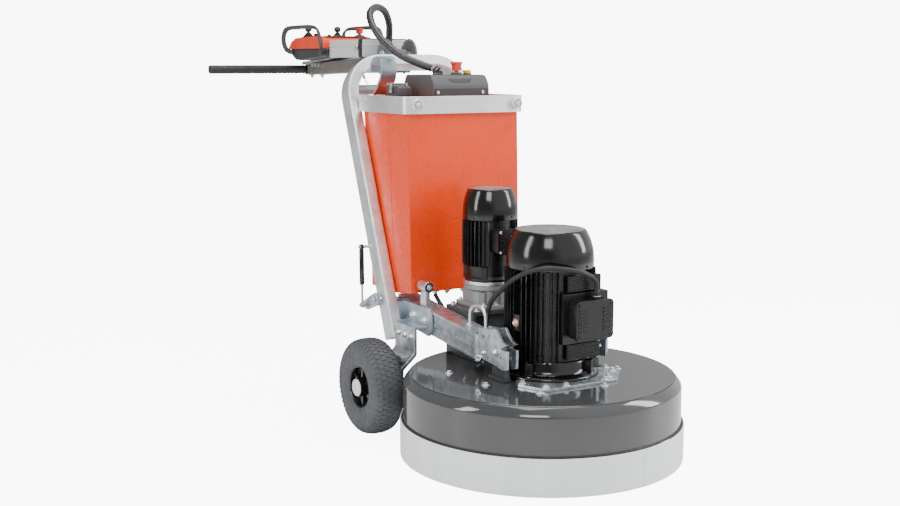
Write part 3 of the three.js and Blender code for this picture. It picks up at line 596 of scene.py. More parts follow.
def build_cowl(name, centre, radius, low, high, slot, replaced):
    x, y = centre
    opening = radius * 0.79
    drop = high - low
    shoulder = [(opening - 2, high - 6), (opening - 2, high - 1.2), (opening, high - 0.4),
                (opening + 2.5, high - 2)]
    for share, fall in ((0.845, 0.085), (0.885, 0.18), (0.925, 0.29), (0.958, 0.41), (0.982, 0.54),
                        (0.995, 0.67), (1, 0.8)):
        shoulder.append((radius * share, high - drop * fall))
    shoulder += [(radius, low + 3), (radius - 1, low), (radius - 4, low), (radius - 4, low + drop * 0.25),
                 (radius * 0.9, high - drop * 0.32), (opening - 2, high - 10)]
    turned(name, "head", shoulder, 96, BLACK, slot, [replaced], at=moved(x, y, 0), sharp=40)
    bm = bmesh.new()
    grille_bars(bm, centre, opening - 1, high - 1.6, 5.4, 2.7)
    lathe(bm, [(0, high - 2.4), (opening * 0.2, high - 2.4), (opening * 0.2, high - 0.4), (0, high - 0.4)],
          40, moved(x, y, 0))
    piece(name + "_grille", "head", bm, MESH_GREY, "zinc_steel")
    turned(name + "_dark", "head", [(0, high - 40), (opening, high - 40), (opening, high - 36),
                                    (0, high - 36)], 48, DARK_PLASTIC, "dark_plastic", at=moved(x, y, 0))
    bm = bmesh.new()
    for degrees in (20, 110, 200, 290):
        out = Vector((math.cos(math.radians(degrees)), math.sin(math.radians(degrees)), 0))
        cap_screw(bm, Vector((x, y, low + 9)) + out * (radius - 0.2), out, 4, 2.4)
    piece(name + "_screws", "head", bm, BLACK, slot)


def ribbed_pad(bm, x, y, z, step=7):
    """A cast pad with level ribs across its front."""
    box(bm, x, y, z)
    count = int((z[1] - z[0]) / step)
    for k in range(count):
        low = z[0] + (k + 0.3) * step
        box(bm, (x[0] + 2, x[1] - 2), (y[0] - 3, y[0] + 1), (low, low + step * 0.45))


def terminal_box(bm, x, y, z):
    """A lidded box facing the front, with level ribs on both sides of its plain middle."""
    width, height = x[1] - x[0], z[1] - z[0]
    middle = ((x[0] + x[1]) / 2, (z[0] + z[1]) / 2)

    def panel(inset, near, far, radius):
        outline = [(u + middle[0], w + middle[1]) for u, w in
                   rounded_rectangle(width - inset * 2, height - inset * 2, radius, 5)]
        prism(bm, outline, "y", near, far)

    panel(3, y[0] + 13.6, y[1], 10)
    panel(0, y[0] + 2, y[0] + 14, 12)
    panel(6, y[0] + 0.5, y[0] + 2.5, 9)
    for side in (-1, 1):
        for k in range(7):
            level = middle[1] + (k - 3) * height * 0.088
            inner, outer = sorted((middle[0] + side * width * 0.2, middle[0] + side * width * 0.42))
            box(bm, (inner, outer), (y[0] - 2.2, y[0] + 1), (level - height * 0.02, level + height * 0.02))


def box_screws(bm, x, y, z, inset):
    for u in (x[0] + inset, x[1] - inset):
        for w in (z[0] + inset, z[1] - inset):
            cap_screw(bm, (u, y[0] + 0.6, w), (0, -1, 0), 4.5, 2.6)


def cable_gland(bm, ring, at, radius, height, up=(0, 0, 1)):
    stand = pointing(at, up)
    prism(bm, circle(radius * 1.12, 6), "z", 0, height * 0.36, stand)
    prism(bm, circle(radius * 0.98, 6), "z", height * 0.42, height * 0.78, stand)
    lathe(bm, [(0, 0), (radius * 0.8, 0), (radius * 0.8, height * 0.8), (radius * 0.66, height),
               (0, height)], 20, stand)
    lathe(ring, [(radius * 0.75, height * 0.35), (radius * 1.05, height * 0.35),
                 (radius * 1.05, height * 0.43), (radius * 0.75, height * 0.43)], 24, stand)


def round_motor(degrees, radius, height):
    angle = math.radians(degrees)
    return Vector((MOTOR[0] + radius * math.cos(angle), MOTOR[1] + radius * math.sin(angle), height))


MAIN_BOX = ((-30, 102), (-214, -167.6), (378, 492))
SMALL_BOX = ((-45, 45), (SMALL_MOTOR_Y - 118, SMALL_MOTOR_Y - 66), (575, 655))
PAD_X = (-26, 92)
PAD_Y = (-162, -110)
EARTH_ANGLE = 188
EARTH_Z = 416


def build_main_motor():
    at = moved(*MOTOR, 0)
    lugs = (-60, -12, 30, 78, 120, 168, 210)
    bm = bmesh.new()
    shield = [(60, 245.4), (143, 245.4), (144.5, 248), (144.5, 258), (142, 261), (130, 265), (123, 271),
              (120, 280), (120, 298), (116, 305), (60, 305)]
    lathe(bm, shield, 96, at)
    for degrees in lugs:
        box(bm, (112, 140), (-11, 11), (258, 303), at @ Matrix.Rotation(math.radians(degrees), 4, "Z"))
    piece("main_shield", "head", bm, BLACK, "motor_black", ["main_motor_end_shield"], bevel=2.0, segments=3,
          sharp=40)
    bm = bmesh.new()
    for degrees in lugs:
        hex_bolt(bm, round_motor(degrees, 133, 262), (0, 0, 1), 10, 6, 8)
    piece("main_shield_bolts", "head", bm, STEEL, "machined_steel", bevel=0.3)

    def skip(degrees):
        return 252 <= degrees <= 311 or 184 <= degrees <= 191

    bm = bmesh.new()
    lathe(bm, [(100, 305), (113, 305), (113, 568), (100, 568)], 96, at)
    motor_fins(bm, MOTOR, 112, 134.5, 52, 306, 569, skip)
    box(bm, (-45, 115), (-167.3, -92), (362, 508))
    ribbed_pad(bm, PAD_X, PAD_Y, (512, 556))
    ribbed_pad(bm, PAD_X, PAD_Y, (314, 358))
    box(bm, (-134, -95), (-5, 5), (306, 568), at @ Matrix.Rotation(math.radians(52), 4, "Z"))
    box(bm, (-132, -95), (-14, 14), (392, 440), at @ Matrix.Rotation(math.radians(8), 4, "Z"))
    piece("main_body", "head", bm, BLACK_CAST, "motor_black", ["main_motor_body"], bevel=0.5, sharp=40)
    build_cowl("main_cowl", MOTOR, 129, 570.5, 680, "motor_black", "main_motor_cowl")
    bm = bmesh.new()
    terminal_box(bm, *MAIN_BOX)
    ring = bmesh.new()
    cable_gland(bm, ring, (57, -187, 490), 12, 24)
    piece("main_box", "head", bm, BLACK_CAST, "motor_black", ["main_terminal_box"], bevel=1.2, segments=3,
          sharp=40)
    piece("main_gland_ring", "head", ring, STEEL, "machined_steel")
    bm = bmesh.new()
    box_screws(bm, *MAIN_BOX, 11)
    piece("main_box_screws", "head", bm, BLACK, "motor_black")
    outward = round_motor(EARTH_ANGLE, 1, 0) - Vector((*MOTOR, 0))
    turned("earth_washer", "head", [(0, 0), (13, 0), (13, 2.4), (0, 2.4)], 28, COPPER, "machined_steel",
           at=pointing(round_motor(EARTH_ANGLE, 132, EARTH_Z), outward), bevel=0.3)
    bm = bmesh.new()
    hex_bolt(bm, round_motor(EARTH_ANGLE, 134, EARTH_Z), outward, 10, 7, 8)
    piece("earth_bolt", "head", bm, ZINC_BRIGHT, "zinc_steel", bevel=0.3)


def build_small_motor():
    centre = (0, SMALL_MOTOR_Y)
    at = moved(*centre, 0)
    bm = bmesh.new()
    lathe(bm, [(60, 531), (73, 531), (73, 676), (60, 676)], 72, at)
    motor_fins(bm, centre, 72, 87.5, 36, 532, 676, lambda degrees: 236 <= degrees <= 304)
    lathe(bm, [(40, 485), (79, 485), (80, 492), (74, 500), (76, 531), (40, 531)], 72, at)
    for degrees in (45, 135, 225, 315):
        box(bm, (66, 84), (-9, 9), (486, 531), at @ Matrix.Rotation(math.radians(degrees), 4, "Z"))
    terminal_box(bm, *SMALL_BOX)
    piece("small_body", "head", bm, BLACK_CAST, "motor_black", ["small_motor_body"], bevel=0.5, sharp=40)
    build_cowl("small_cowl", centre, 86, 677.5, 773, "motor_black", "small_motor_cowl")
    bm = bmesh.new()
    box_screws(bm, *SMALL_BOX, 9)
    piece("small_box_screws", "head", bm, ZINC_BRIGHT, "zinc_steel")
    turned("small_flange", "head", [(30, 472.5), (81, 472.5), (82, 474), (82, 484), (30, 484)], 72,
           ALUMINIUM, "rail_aluminium", at=at, bevel=0.8)


def build_gearbox():
    at = moved(0, SMALL_MOTOR_Y, 0)
    bm = bmesh.new()
    box(bm, (-78, 78), (SMALL_MOTOR_Y - 78, SMALL_MOTOR_Y + 78), (400.4, 413))
    box(bm, (-62, 62), (SMALL_MOTOR_Y - 64, SMALL_MOTOR_Y + 64), (413, 452))
    lathe(bm, [(17, 412), (70, 412), (72, 452), (82, 459), (82, 472), (17, 472)], 64, at)
    for x in (-44, 0, 44):
        box(bm, (x - 7, x + 7), (SMALL_MOTOR_Y - 73, SMALL_MOTOR_Y - 60), (414, 456))
    piece("gearbox_case", "head", bm, GREY_CASTING, "grey_casting", ["gearbox"], bevel=1.4, segments=3)
    bm = bmesh.new()
    for x in (-66, -22, 22, 66):
        for y in (-68, 68):
            hex_bolt(bm, (x, SMALL_MOTOR_Y + y, 413), (0, 0, 1), 10, 6, 8)
    piece("gearbox_bolts", "head", bm, ZINC_BRIGHT, "zinc_steel", bevel=0.3)
    depth = (SMALL_MOTOR_Y - 82, SMALL_MOTOR_Y + 82)
    bm = bmesh.new()
    box(bm, (-112, 112), depth, (245.4, 258))
    box(bm, (-62, 62), (SMALL_MOTOR_Y - 66, SMALL_MOTOR_Y + 66), (256, 400))
    box(bm, (-112, 112), depth, (386, 400))
    for side in (-1, 1):
        box(bm, across(side, 102, 112), depth, (256, 388))
    piece("pedestal_bridge", "head", bm, PEDESTAL, "dark_paint", ["gearbox_pedestal"], bevel=1.8, segments=3)
    bm = bmesh.new()
    for x in (-92, 92):
        for y in (depth[0] + 12, depth[1] - 12):
            hex_bolt(bm, (x, y, 258), (0, 0, 1), 13, 7, 11)
            hex_bolt(bm, (x, y, 400), (0, 0, 1), 13, 7, 11)
    piece("pedestal_bolts", "head", bm, ZINC_BRIGHT, "zinc_steel", bevel=0.3)


# ---- Pivot: hook plates on the frame, posts on the head ----
HOOK = [(62, 298), (62, 388), (24, 390), (14, 391), (8, 392), (-10, 395), (-24, 399), (-29, 398),
        (-35, 391), (-40, 384), (-52, 373), (-61, 366), (-85, 360), (-70, 352), (-56, 346), (-60, 344),
        (-87, 343), (-85, 289), (-82, 286), (-62, 284), (-30, 290)]


def build_pivot(side, word):
    bm = bmesh.new()
    hole = circle(10, 24, PIVOT)
    small = [circle(5, 14, centre) for centre in ((6, 371), (38, 365), (38, 316), (-58, 316))]
    for inner, outer in ((174, 183), (141, 150)):
        prism(bm, HOOK, "x", *across(side, inner, outer), holes=[hole, *small])
    box(bm, across(side, 149.5, 174.5), (44, 62), (301, 384))
    piece(f"hook_plates_{word}", "chassis", bm, ZINC, "zinc_steel", [f"clevis_{word}"], bevel=1.0)
    bm = bmesh.new()
    hex_bolt(bm, (side * 183, 38, 316), (side, 0, 0), 10, 5, 8)
    piece(f"hook_bolts_{word}", "chassis", bm, ZINC_BRIGHT, "zinc_steel", bevel=0.3)
    bm = bmesh.new()
    post = [(-60, 255), (-50, 322), (-41, 343), (-33, 350), (-24.7, 352), (-16, 350), (-8, 343), (1, 322),
            (11, 255)]
    prism(bm, post, "x", *across(side, 153, 171))
    box(bm, across(side, 152, 180), (-64, 14), (245.4, 256))
    piece(f"head_post_{word}", "head", bm, PEDESTAL, "dark_paint", bevel=1.6, segments=3)
    bm = bmesh.new()
    lathe(bm, [(0, 0), (9, 0), (9, 49.5), (0, 49.5)], 28, pointing((side * 140.5, *PIVOT), (side, 0, 0)))
    hex_bolt(bm, (side * 184.5, *PIVOT), (side, 0, 0), 19, 6, 14)
    piece(f"head_pin_{word}", "head", bm, ZINC_BRIGHT, "zinc_steel", [f"head_bracket_{word}"], bevel=0.4)


# ---- Frame: hoop, beams, gussets ----
def hoop_path():
    """Centre line of the hoop's tube in the upright drawing plane: up the left side, over, down the right."""
    middle, foot, top, bend = 230, 311, 1257, 130
    points = [Vector((-middle, 0, foot + (top - bend - foot) * i / 10)) for i in range(10)]
    points += [Vector((u, 0, w)) for u,
               w in circle(bend, 19, (-middle + bend, top - bend), math.pi, -math.pi / 2)]
    points += [Vector((u, 0, w)) for u,
               w in circle(bend, 19, (middle - bend, top - bend), math.pi / 2, -math.pi / 2)]
    points += [Vector((middle, 0, foot + (top - bend - foot) * i / 10)) for i in range(9, -1, -1)]
    return [LEANING @ (p + Vector((0, 32.25, 0))) for p in points]


def build_hoop():
    bm = bmesh.new()
    lean_back = LEANING.to_3x3() @ Vector((0, 1, 0))
    section = rounded_rectangle(40, 64.5, 7, 5)
    rows = []
    path = hoop_path()
    for i, point in enumerate(path):
        along = (path[min(i + 1, len(path) - 1)] - path[max(i - 1, 0)]).normalized()
        side = along.cross(lean_back).normalized()
        rows.append([bm.verts.new(point + side * u + lean_back * v) for u, v in section])
    skin(bm, rows)
    piece("hoop_tube", "chassis", bm, FRAME_METAL, "zinc_steel", ["frame_hoop"], sharp=40)
    for side, word in SIDES:
        gusset = [(346, beam_z(346) - 43), (336, beam_z(336) - 34), (330, beam_z(330) - 18),
                  (329, beam_z(329)), (330, beam_z(330) + 20), (336, beam_z(336) + 36),
                  (346, beam_z(346) + 45), (560, beam_z(560) + 30), (575, 360), (560, beam_z(560) - 40)]
        bm = bmesh.new()
        prism(bm, gusset, "x", *across(side, 183.4, 193))
        box(bm, across(side, 192, 211), (506, 545), (335, 395))
        piece(f"gusset_{word}", "chassis", bm, ZINC_BLUE, "zinc_steel", bevel=1.4)
        bm = bmesh.new()
        for y in (371, 438):
            hex_bolt(bm, (side * 193, y, beam_z(y) + 2), (side, 0, 0), 19, 9, 15)
        piece(f"gusset_bolts_{word}", "chassis", bm, ZINC_BRIGHT, "zinc_steel", bevel=0.4)
    # The cross tube takes the darker copy of the frame zinc: painted shade.
    turned("cross_tube", "chassis", [(0, 0), (17, 0), (17, 430), (0, 430)], 32, FRAME_SHADED, "zinc_steel",
           at=pointing((-215, 843, 1068), (1, 0, 0)))
    bm = bmesh.new()
    for low, high, at in ((249, 292, (625, 564)), (249, 274, (556, 400))):
        lathe(bm, [(0, 0), (5.5, 0), (5.5, high - low), (0, high - low)], 20,
              pointing((-low, *at), (-1, 0, 0)))
        hex_bolt(bm, (-low, *at), (-1, 0, 0), 13, 6, 10)
    piece("spring_studs", "chassis", bm, ZINC_BRIGHT, "zinc_steel", bevel=0.3)


def build_beam(side, word):
    inner, outer, half = 117, 183, 38.8
    groove = 1.6
    section = [(inner, -half), (outer, -half), (outer, -half + 8), (outer - groove, -half + 10),
               (outer - groove, -10), (outer, -8), (outer, -1), (outer - groove, 1),
               (outer - groove, half - 12), (outer, half - 10), (outer, half), (inner, half)]
    bm = bmesh.new()
    rows = []
    for y in (63, 560):
        rows.append([bm.verts.new((side * x, y, beam_z(y) + z)) for x, z in section])
    skin(bm, rows)
    piece(f"beam_channel_{word}", "chassis", bm, ZINC, "zinc_steel", [f"beam_{word}"], bevel=1.6, segments=3)
    x = side * 145
    bm = bmesh.new()
    eye = [(x, 171, 360), (x, 171, 404), (x, 165, 422), (x, 150, 434), (x, 127, 438), (x, 104, 434),
           (x, 89, 422), (x, 83, 404), (x, 83, 352)]
    sweep(bm, smooth_path(eye, 40), circle(5.5, 14), up=Vector((1, 0, 0)))
    for y in (171, 83):
        stud_and_nut(bm, (x, y, beam_z(y) + half), (0, 0, 1), 11, 17, 2)
    for y in (90, 118, 190):
        stud_and_nut(bm, (side * 150, y, beam_z(y) - half), (0, 0, -1), 8, 13, 12)
    piece(f"beam_eye_{word}", "chassis", bm, ZINC_BRIGHT, "zinc_steel", bevel=0.3)
    bm = bmesh.new()
    box(bm, across(side, 166, 182), (377, 412), (375, 461))
    lathe(bm, [(0, 0), (17.6, 0), (17.6, 51), (0, 51)], 36, pointing((side * 173.6, 421, 458), (0, -1, 0)))
    box(bm, across(side, 172, 186), (66, 80), (beam_z(73) - 41, beam_z(73) + 40.5))
    lathe(bm, [(5, 0), (9, 0), (9, 5), (5, 5)], 24,
          pointing((side * 184, 58, beam_z(73) - 27), (side, -0.4, 0)))
    piece(f"beam_lug_{word}", "chassis", bm, ZINC_BRIGHT, "zinc_steel", bevel=1.2)
    turned(f"lug_seal_{word}", "chassis", [(10, 0), (15, 0), (15, 1.6), (10, 1.6)], 32, RUBBER,
           "black_rubber", at=pointing((side * 173.6, 370, 458), (0, -1, 0)))
    bm = bmesh.new()
    hex_bolt(bm, (side * 173.6, 369.5, 458), (0, -1, 0), 13, 7, 9)
    piece(f"lug_bolt_{word}", "chassis", bm, ZINC_BRIGHT, "zinc_steel", bevel=0.3)


# ---- Wheels and their brackets ----
def build_axle_bracket(side, word):
    bm = bmesh.new()
    outline = [(236, 342), (246, 342), (246, 266), (249, 258), (291, 221), (294, 214), (294, 92), (284, 92),
               (284, 207), (281, 213), (239, 250), (236, 257)]
    prism(bm, [(side * x, z) for x, z in outline], "y", 338, 466)
    box(bm, across(side, 193.4, 240), (345, 466), (333, 342))
    piece(f"axle_plate_{word}", "chassis", bm, ZINC, "zinc_steel", bevel=1.6, segments=3)
    bm = bmesh.new()
    prism(bm, rounded_rectangle(120, 20, 6), "x", *across(side, 262, 290),
          matrix=moved(0, 402, 244))
    lathe(bm, [(0, 0), (12, 0), (12, 108), (0, 108)], 28,
          pointing((side * 290, WHEEL_Y, WHEEL_RADIUS), (side, 0, 0)))
    lathe(bm, [(12, 0), (30, 0), (30, 8), (12, 8)], 32,
          pointing((side * 294, WHEEL_Y, WHEEL_RADIUS), (side, 0, 0)))
    piece(f"axle_shelf_{word}", "chassis", bm, GREY_CASTING, "zinc_steel", [f"axle_bracket_{word}"],
          bevel=1.2, segments=3)
    bm = bmesh.new()
    for y in (362, 402, 442):
        hex_bolt(bm, (side * 246, y, 310), (side, 0, 0), 17, 8, 13)
    piece(f"axle_bolts_{word}", "chassis", bm, ZINC_BRIGHT, "zinc_steel", bevel=0.4)


def on_axle(side):
    """Stands a thing drawn along +Z on the wheel's centre line, z = 0 at the machine's middle plane."""
    return moved(0, WHEEL_Y, WHEEL_RADIUS) @ Matrix.Rotation(side * math.pi / 2, 4, "Y")


def along_line(points, at):
    """The height of a polyline of (place, height) points at one place."""
    for (low, start), (high, end) in zip(points, points[1:]):
        if at <= high:
            return start + (end - start) * (at - low) / (high - low)
    return points[-1][1]


def build_wheel(side, word):
    body = f"wheel_{word}"
    axle = on_axle(side)
    bm = bmesh.new()
    carcass = [(67, 312), (78, 306), (100, 304.5), (122, 304), (131, 306), (138, 311), (143, 318),
               (146.5, 326), (148.6, 338), (149, 352), (148.6, 367), (146.5, 379), (143, 387), (138, 394),
               (131, 399), (122, 401), (100, 401), (78, 400), (67, 394)]
    lathe(bm, carcass, 96, axle)
    blocks = 52
    crown_line = [(304, 132), (311, 141), (317, 146), (326, 149), (338, 151.3), (352, 151.8), (367, 151.3),
                  (379, 149), (388, 146), (394, 141), (401, 132)]
    rows = ((305, 318, 0.25), (320, 334, 0.75), (336, 350, 0.25), (355, 369, 0.75), (371, 385, 0.25),
            (387, 400, 0.75))
    for i in range(blocks):
        for low, high, shift in rows:
            turn = axle @ Matrix.Rotation(2 * math.pi * (i + shift) / blocks, 4, "Z")
            outline = [(low, -5.6), ((low + high) / 2, -7.4), (high, -5.6), (high, 5.6),
                       ((low + high) / 2, 3.8), (low, 5.6)]
            reach = [along_line(crown_line, u) for u, v in outline]
            base = [bm.verts.new(turn @ Vector((r - 5, v, u))) for r, (u, v) in zip(reach, outline)]
            crown = [bm.verts.new(turn @ Vector((r - 0.1, v * 0.94, u))) for r, (u, v) in zip(reach, outline)]
            bm.faces.new(crown)
            for k in range(len(outline)):
                bm.faces.new((base[k - 1], base[k], crown[k], crown[k - 1]))
    piece(f"tyre_tread_{word}", body, bm, TYRE, "tyre_grey", [f"tyre_{word}"], bevel=0.8, sharp=38)
    bm = bmesh.new()
    rim = [(13, 306), (30, 306), (32, 345), (56, 347), (60, 320), (68, 311), (69, 311), (69, 394),
           (66, 395.5), (62, 393), (58, 376), (48, 369), (32, 372), (29, 402), (13, 404)]
    lathe(bm, rim, 96, axle)
    for i in range(6):
        turn = axle @ Matrix.Rotation(math.pi * i / 3, 4, "Z")
        box(bm, (28, 62), (-5, 5), (366, 384), turn)
    piece(f"rim_disc_{word}", body, bm, RIM, "rim_black", [f"rim_{word}"], bevel=1.6, segments=3)
    turned(f"hub_cap_{word}", body, [(0, 408), (5, 408), (6, 406.8), (24, 406.8), (27, 404.5), (27.5, 399),
                                     (0, 399)], 48, WHITE_CAP, "grey_plastic", at=axle, sharp=50)
    turned(f"hub_dot_{word}", body, [(0, 407.9), (4, 407.9), (4, 408.6), (0, 408.9)], 24, STEEL,
           "machined_steel", at=axle)


# ---- Gas spring and its lever ----
def build_spring():
    bm = bmesh.new()
    lever = [(538, 414), (545, 418), (562, 420), (636, 384), (638, 378), (638, 366), (634, 360), (612, 356),
             (540, 382), (536, 392)]
    prism(bm, lever, "x", -270, -262, holes=[circle(8, 20, (556, 400))])
    lathe(bm, [(0, 0), (5, 0), (5, 23), (0, 23)], 20, pointing((-269, 622, 372), (-1, 0, 0)))
    hex_bolt(bm, (-262, 622, 372), (1, 0, 0), 13, 6, 10)
    piece("lever_plate", "lever", bm, ZINC, "zinc_steel", ["spring_lever"], bevel=0.8)
    along = Vector((0, 622 - 625, 372 - 564))
    hang = pointing((-282, 625, 564), along)
    bm = bmesh.new()
    lathe(bm, [(0, 8), (7, 8), (8.2, 11), (8.2, 120), (7, 125), (4.4, 125), (4.4, 30), (0, 30)], 40, hang)
    lathe(bm, [(5.7, -4.5), (9, -4.5), (9.4, 0), (9, 4.5), (5.7, 4.5)], 28,
          pointing((-282, 625, 564), (1, 0, 0)))
    piece("spring_tube", "spring_body", bm, BLACK, "black_paint", ["gas_spring_cylinder"], bevel=0.5)
    bm = bmesh.new()
    lathe(bm, [(0, 70), (4, 70), (4, along.length - 8), (0, along.length - 8)], 24, hang)
    lathe(bm, [(5.7, -4.5), (9, -4.5), (9.4, 0), (9, 4.5), (5.7, 4.5)], 28,
          pointing((-282, 622, 372), (1, 0, 0)))
    piece("spring_piston", "spring_rod", bm, STEEL, "machined_steel", ["gas_spring_rod"], bevel=0.4)


# ---- Cabinet, rail and console ----
def build_cabinet():
    """An orange sheet case whose sides carry a raised strip and a hem along the front edge."""
    wall = 3
    bm = bmesh.new()
    outline = [(429, 432), (446, 1052), (754, 1052), (735, 900), (705, 640), (700, 420), (520, 420)]
    for side in (-1, 1):
        prism(bm, outline, "x", *across(side, 205 - wall, 205))
    loop = [(429, 432), (446, 1052), (754, 1052), (751, 1049), (449, 1049), (432.5, 435), (521, 423),
            (700, 423), (700, 420), (520, 420)]
    prism(bm, loop, "x", -203, 203)
    piece("cabinet_case", "chassis", bm, ORANGE, "orange_paint", ["cabinet_shell"], bevel=3.0, segments=4)
    bm = bmesh.new()
    for side in (-1, 1):
        strip = [(540, 470), (578, 1003), (640, 1001), (612, 470)]
        prism(bm, strip, "x", *across(side, 204.6, 206.2))
        hem = [(429.6, 446), (446.2, 1004), (452, 1004), (436, 446)]
        prism(bm, hem, "x", *across(side, 204.6, 206.4))
    piece("cabinet_hems", "chassis", bm, ORANGE, "orange_paint", bevel=0.8)
    bm = bmesh.new()
    panel = [(746, 1046), (731, 900), (701, 640), (696, 426), (692, 426), (697, 641), (727, 901), (742, 1046)]
    prism(bm, panel, "x", -201.7, 201.7)
    piece("rear_panel", "chassis", bm, ORANGE, "orange_paint", ["cabinet_rear_panel"], bevel=1.0)
    bm = bmesh.new()
    for side in (-1, 1):
        for z, y in ((450, 697.5), (640, 701.5), (880, 729), (1030, 744.5)):
            cap_screw(bm, (side * 190, y, z), (0, 1, -0.08), 6, 3)
        for k in range(9):
            level = 500 + k * 14
            box(bm, (-60, 60), (697, 701.4), (level, level + 5))
    for x in (-105, -60, 0, 60):
        stud_and_nut(bm, (x, 452, 430), (0, 0, -1), 9, 17, 9)
    piece("cabinet_fittings", "chassis", bm, ZINC_BRIGHT, "zinc_steel", bevel=0.3)
    bm = bmesh.new()
    box(bm, (-120, 120), (480, 620), (500, 840))
    for k in range(14):
        box(bm, (-108 + k * 16, -100 + k * 16), (620, 640), (520, 820))
    piece("inverter_case", "chassis", bm, PALE_PLASTIC, "grey_plastic", ["inverter"], bevel=2.0)


def build_rail():
    outer = [(-224, 790), (-224, 458)] + circle(34, 12, (-190, 458), math.pi, math.pi / 2)[1:]
    outer += circle(34, 12, (190, 458), 1.5 * math.pi, math.pi / 2) + [(224, 790)]
    inner = [(214, 790),
             (214, 458)] + list(reversed(circle(24, 12, (190, 458), 1.5 * math.pi, math.pi / 2)))[1:]
    inner += list(reversed(circle(24, 12, (-190, 458), math.pi, math.pi / 2))) + [(-214, 790)]
    behind = FRAME_FOOT_Y + 1027 * math.tan(FRAME_LEAN) - 10
    outline = [(x, min(y, behind)) for x, y in outer + inner]
    pushed("rail_band", "chassis", (outline, "z", 1000, 1055), ALUMINIUM, "rail_aluminium", ["top_rail"],
           bevel=1.4, segments=3)
    bm = bmesh.new()
    rings = bmesh.new()
    bolts = bmesh.new()
    for side in (-1, 1):
        at = Vector((side * 186, 424, 1029))
        lathe(bm, [(0, 0), (19, 0), (19, 10), (17.5, 12), (0, 12)], 40, pointing(at, (0, -1, 0)))
        lathe(rings, [(9, 11.6), (14, 11.6), (14, 12.8), (9, 12.8)], 32, pointing(at, (0, -1, 0)))
        hex_bolt(bolts, at + Vector((0, -12, 0)), (0, -1, 0), 10, 5, 8)
        for z in (1012, 1043):
            cap_screw(bolts, (side * 224, 700, z), (side, 0, 0), 5, 3)
    piece("rail_bosses", "chassis", bm, ALUMINIUM, "rail_aluminium", bevel=0.5)
    # The rail rings take the darker copy of the frame zinc: painted shade.
    piece("rail_rings", "chassis", rings, FRAME_SHADED, "zinc_steel")
    piece("rail_bolts", "chassis", bolts, ZINC_BRIGHT, "zinc_steel", bevel=0.3)


HOOD_TOP = 1121
ESTOP = (19, 522)
START = (58, 520)


def build_console():
    base = 1052.3
    bm = bmesh.new()
    hood = [(468, base), (468, 1086), (470, 1094), (484, 1114), (492, 1119.5), (502, HOOD_TOP),
            (648, HOOD_TOP), (655, 1118), (684, base)]
    prism(bm, hood, "x", -98, 111)
    piece("hood_case", "chassis", bm, CONSOLE, "dark_plastic", ["console_hood"], bevel=5, segments=4)
    bm = bmesh.new()
    box(bm, (-96, 108), (464.5, 470), (1053, 1078))
    for x in (-84, 84):
        cap_screw(bm, (x, 464.5, 1065), (0, -1, 0), 5, 3)
    piece("hood_band", "chassis", bm, DARK_PLASTIC, "dark_plastic", bevel=1.4, segments=3)
    # A thin plate of darker plastic stands for the handle recess on the sloped front: painted shade of the
    # recess, not a recess cut into the hood.
    bm = bmesh.new()
    slope = Vector((0, -20, 14)).normalized()
    rise = Matrix.Translation((4, 475.5, 1102)) @ slope.to_track_quat("Z", "X").to_matrix().to_4x4()
    prism(bm, [(7, -44), (7, 44), (-8, 34), (-8, -34)], "z", 0, 1.0, rise)
    piece("hood_recess_painted_shade", "chassis", bm, DARK_PLASTIC, "dark_plastic", bevel=0.5)
    bm = bmesh.new()
    for x in (-84, 84):
        cap_screw(bm, (x, 464, 1065), (0, -1, 0), 5.5, 3)
    piece("hood_screws", "chassis", bm, ZINC_BRIGHT, "zinc_steel")
    at = moved(*ESTOP, 0)
    turned("estop_base", "chassis", [(10, 1120), (19, 1120), (19, 1124), (18, 1125), (10, 1125)], 48,
           DARK_PLASTIC, "dark_plastic", at=at, bevel=0.5)
    turned("estop_ring", "chassis", [(10, 1125), (17.6, 1125), (17.6, 1128.5), (10, 1128.5)], 48, GREEN,
           "dark_plastic", at=at, bevel=0.4)
    bm = bmesh.new()
    mushroom(bm, at, 1104, 1136, 20, 26)
    piece("estop_head", "estop", bm, RED, "red_button", ["estop_button"], sharp=50)
    turned("start_cap", "start",
           [(0, 1104), (6.4, 1104), (6.4, 1125), (13, 1125.5), (13.6, 1134), (11.5, 1136), (0, 1136.4)], 36,
           YELLOW, "yellow_button", ["start_button"], at=moved(*START, 0), sharp=50)
    turned("start_bezel", "chassis", [(7, 1120), (14, 1120), (14, 1124), (12, 1125.6), (7, 1125.6)], 36,
           DARK_PLASTIC, "dark_plastic", at=moved(*START, 0), bevel=0.4)


def mushroom(bm, at, foot, low, radius, height):
    """An emergency stop's head: a neck, then a cap that flares towards its flat, rounded top."""
    profile = [(0, foot), (radius * 0.4, foot), (radius * 0.4, low - 2), (radius * 0.74, low - 2),
               (radius * 0.77, low), (radius * 0.8, low + height * 0.45),
               (radius * 0.86, low + height * 0.68), (radius * 0.98, low + height * 0.84),
               (radius, low + height * 0.92), (radius * 0.95, low + height),
               (radius * 0.8, low + height * 1.02), (0, low + height * 1.03)]
    lathe(bm, profile, 48, at)


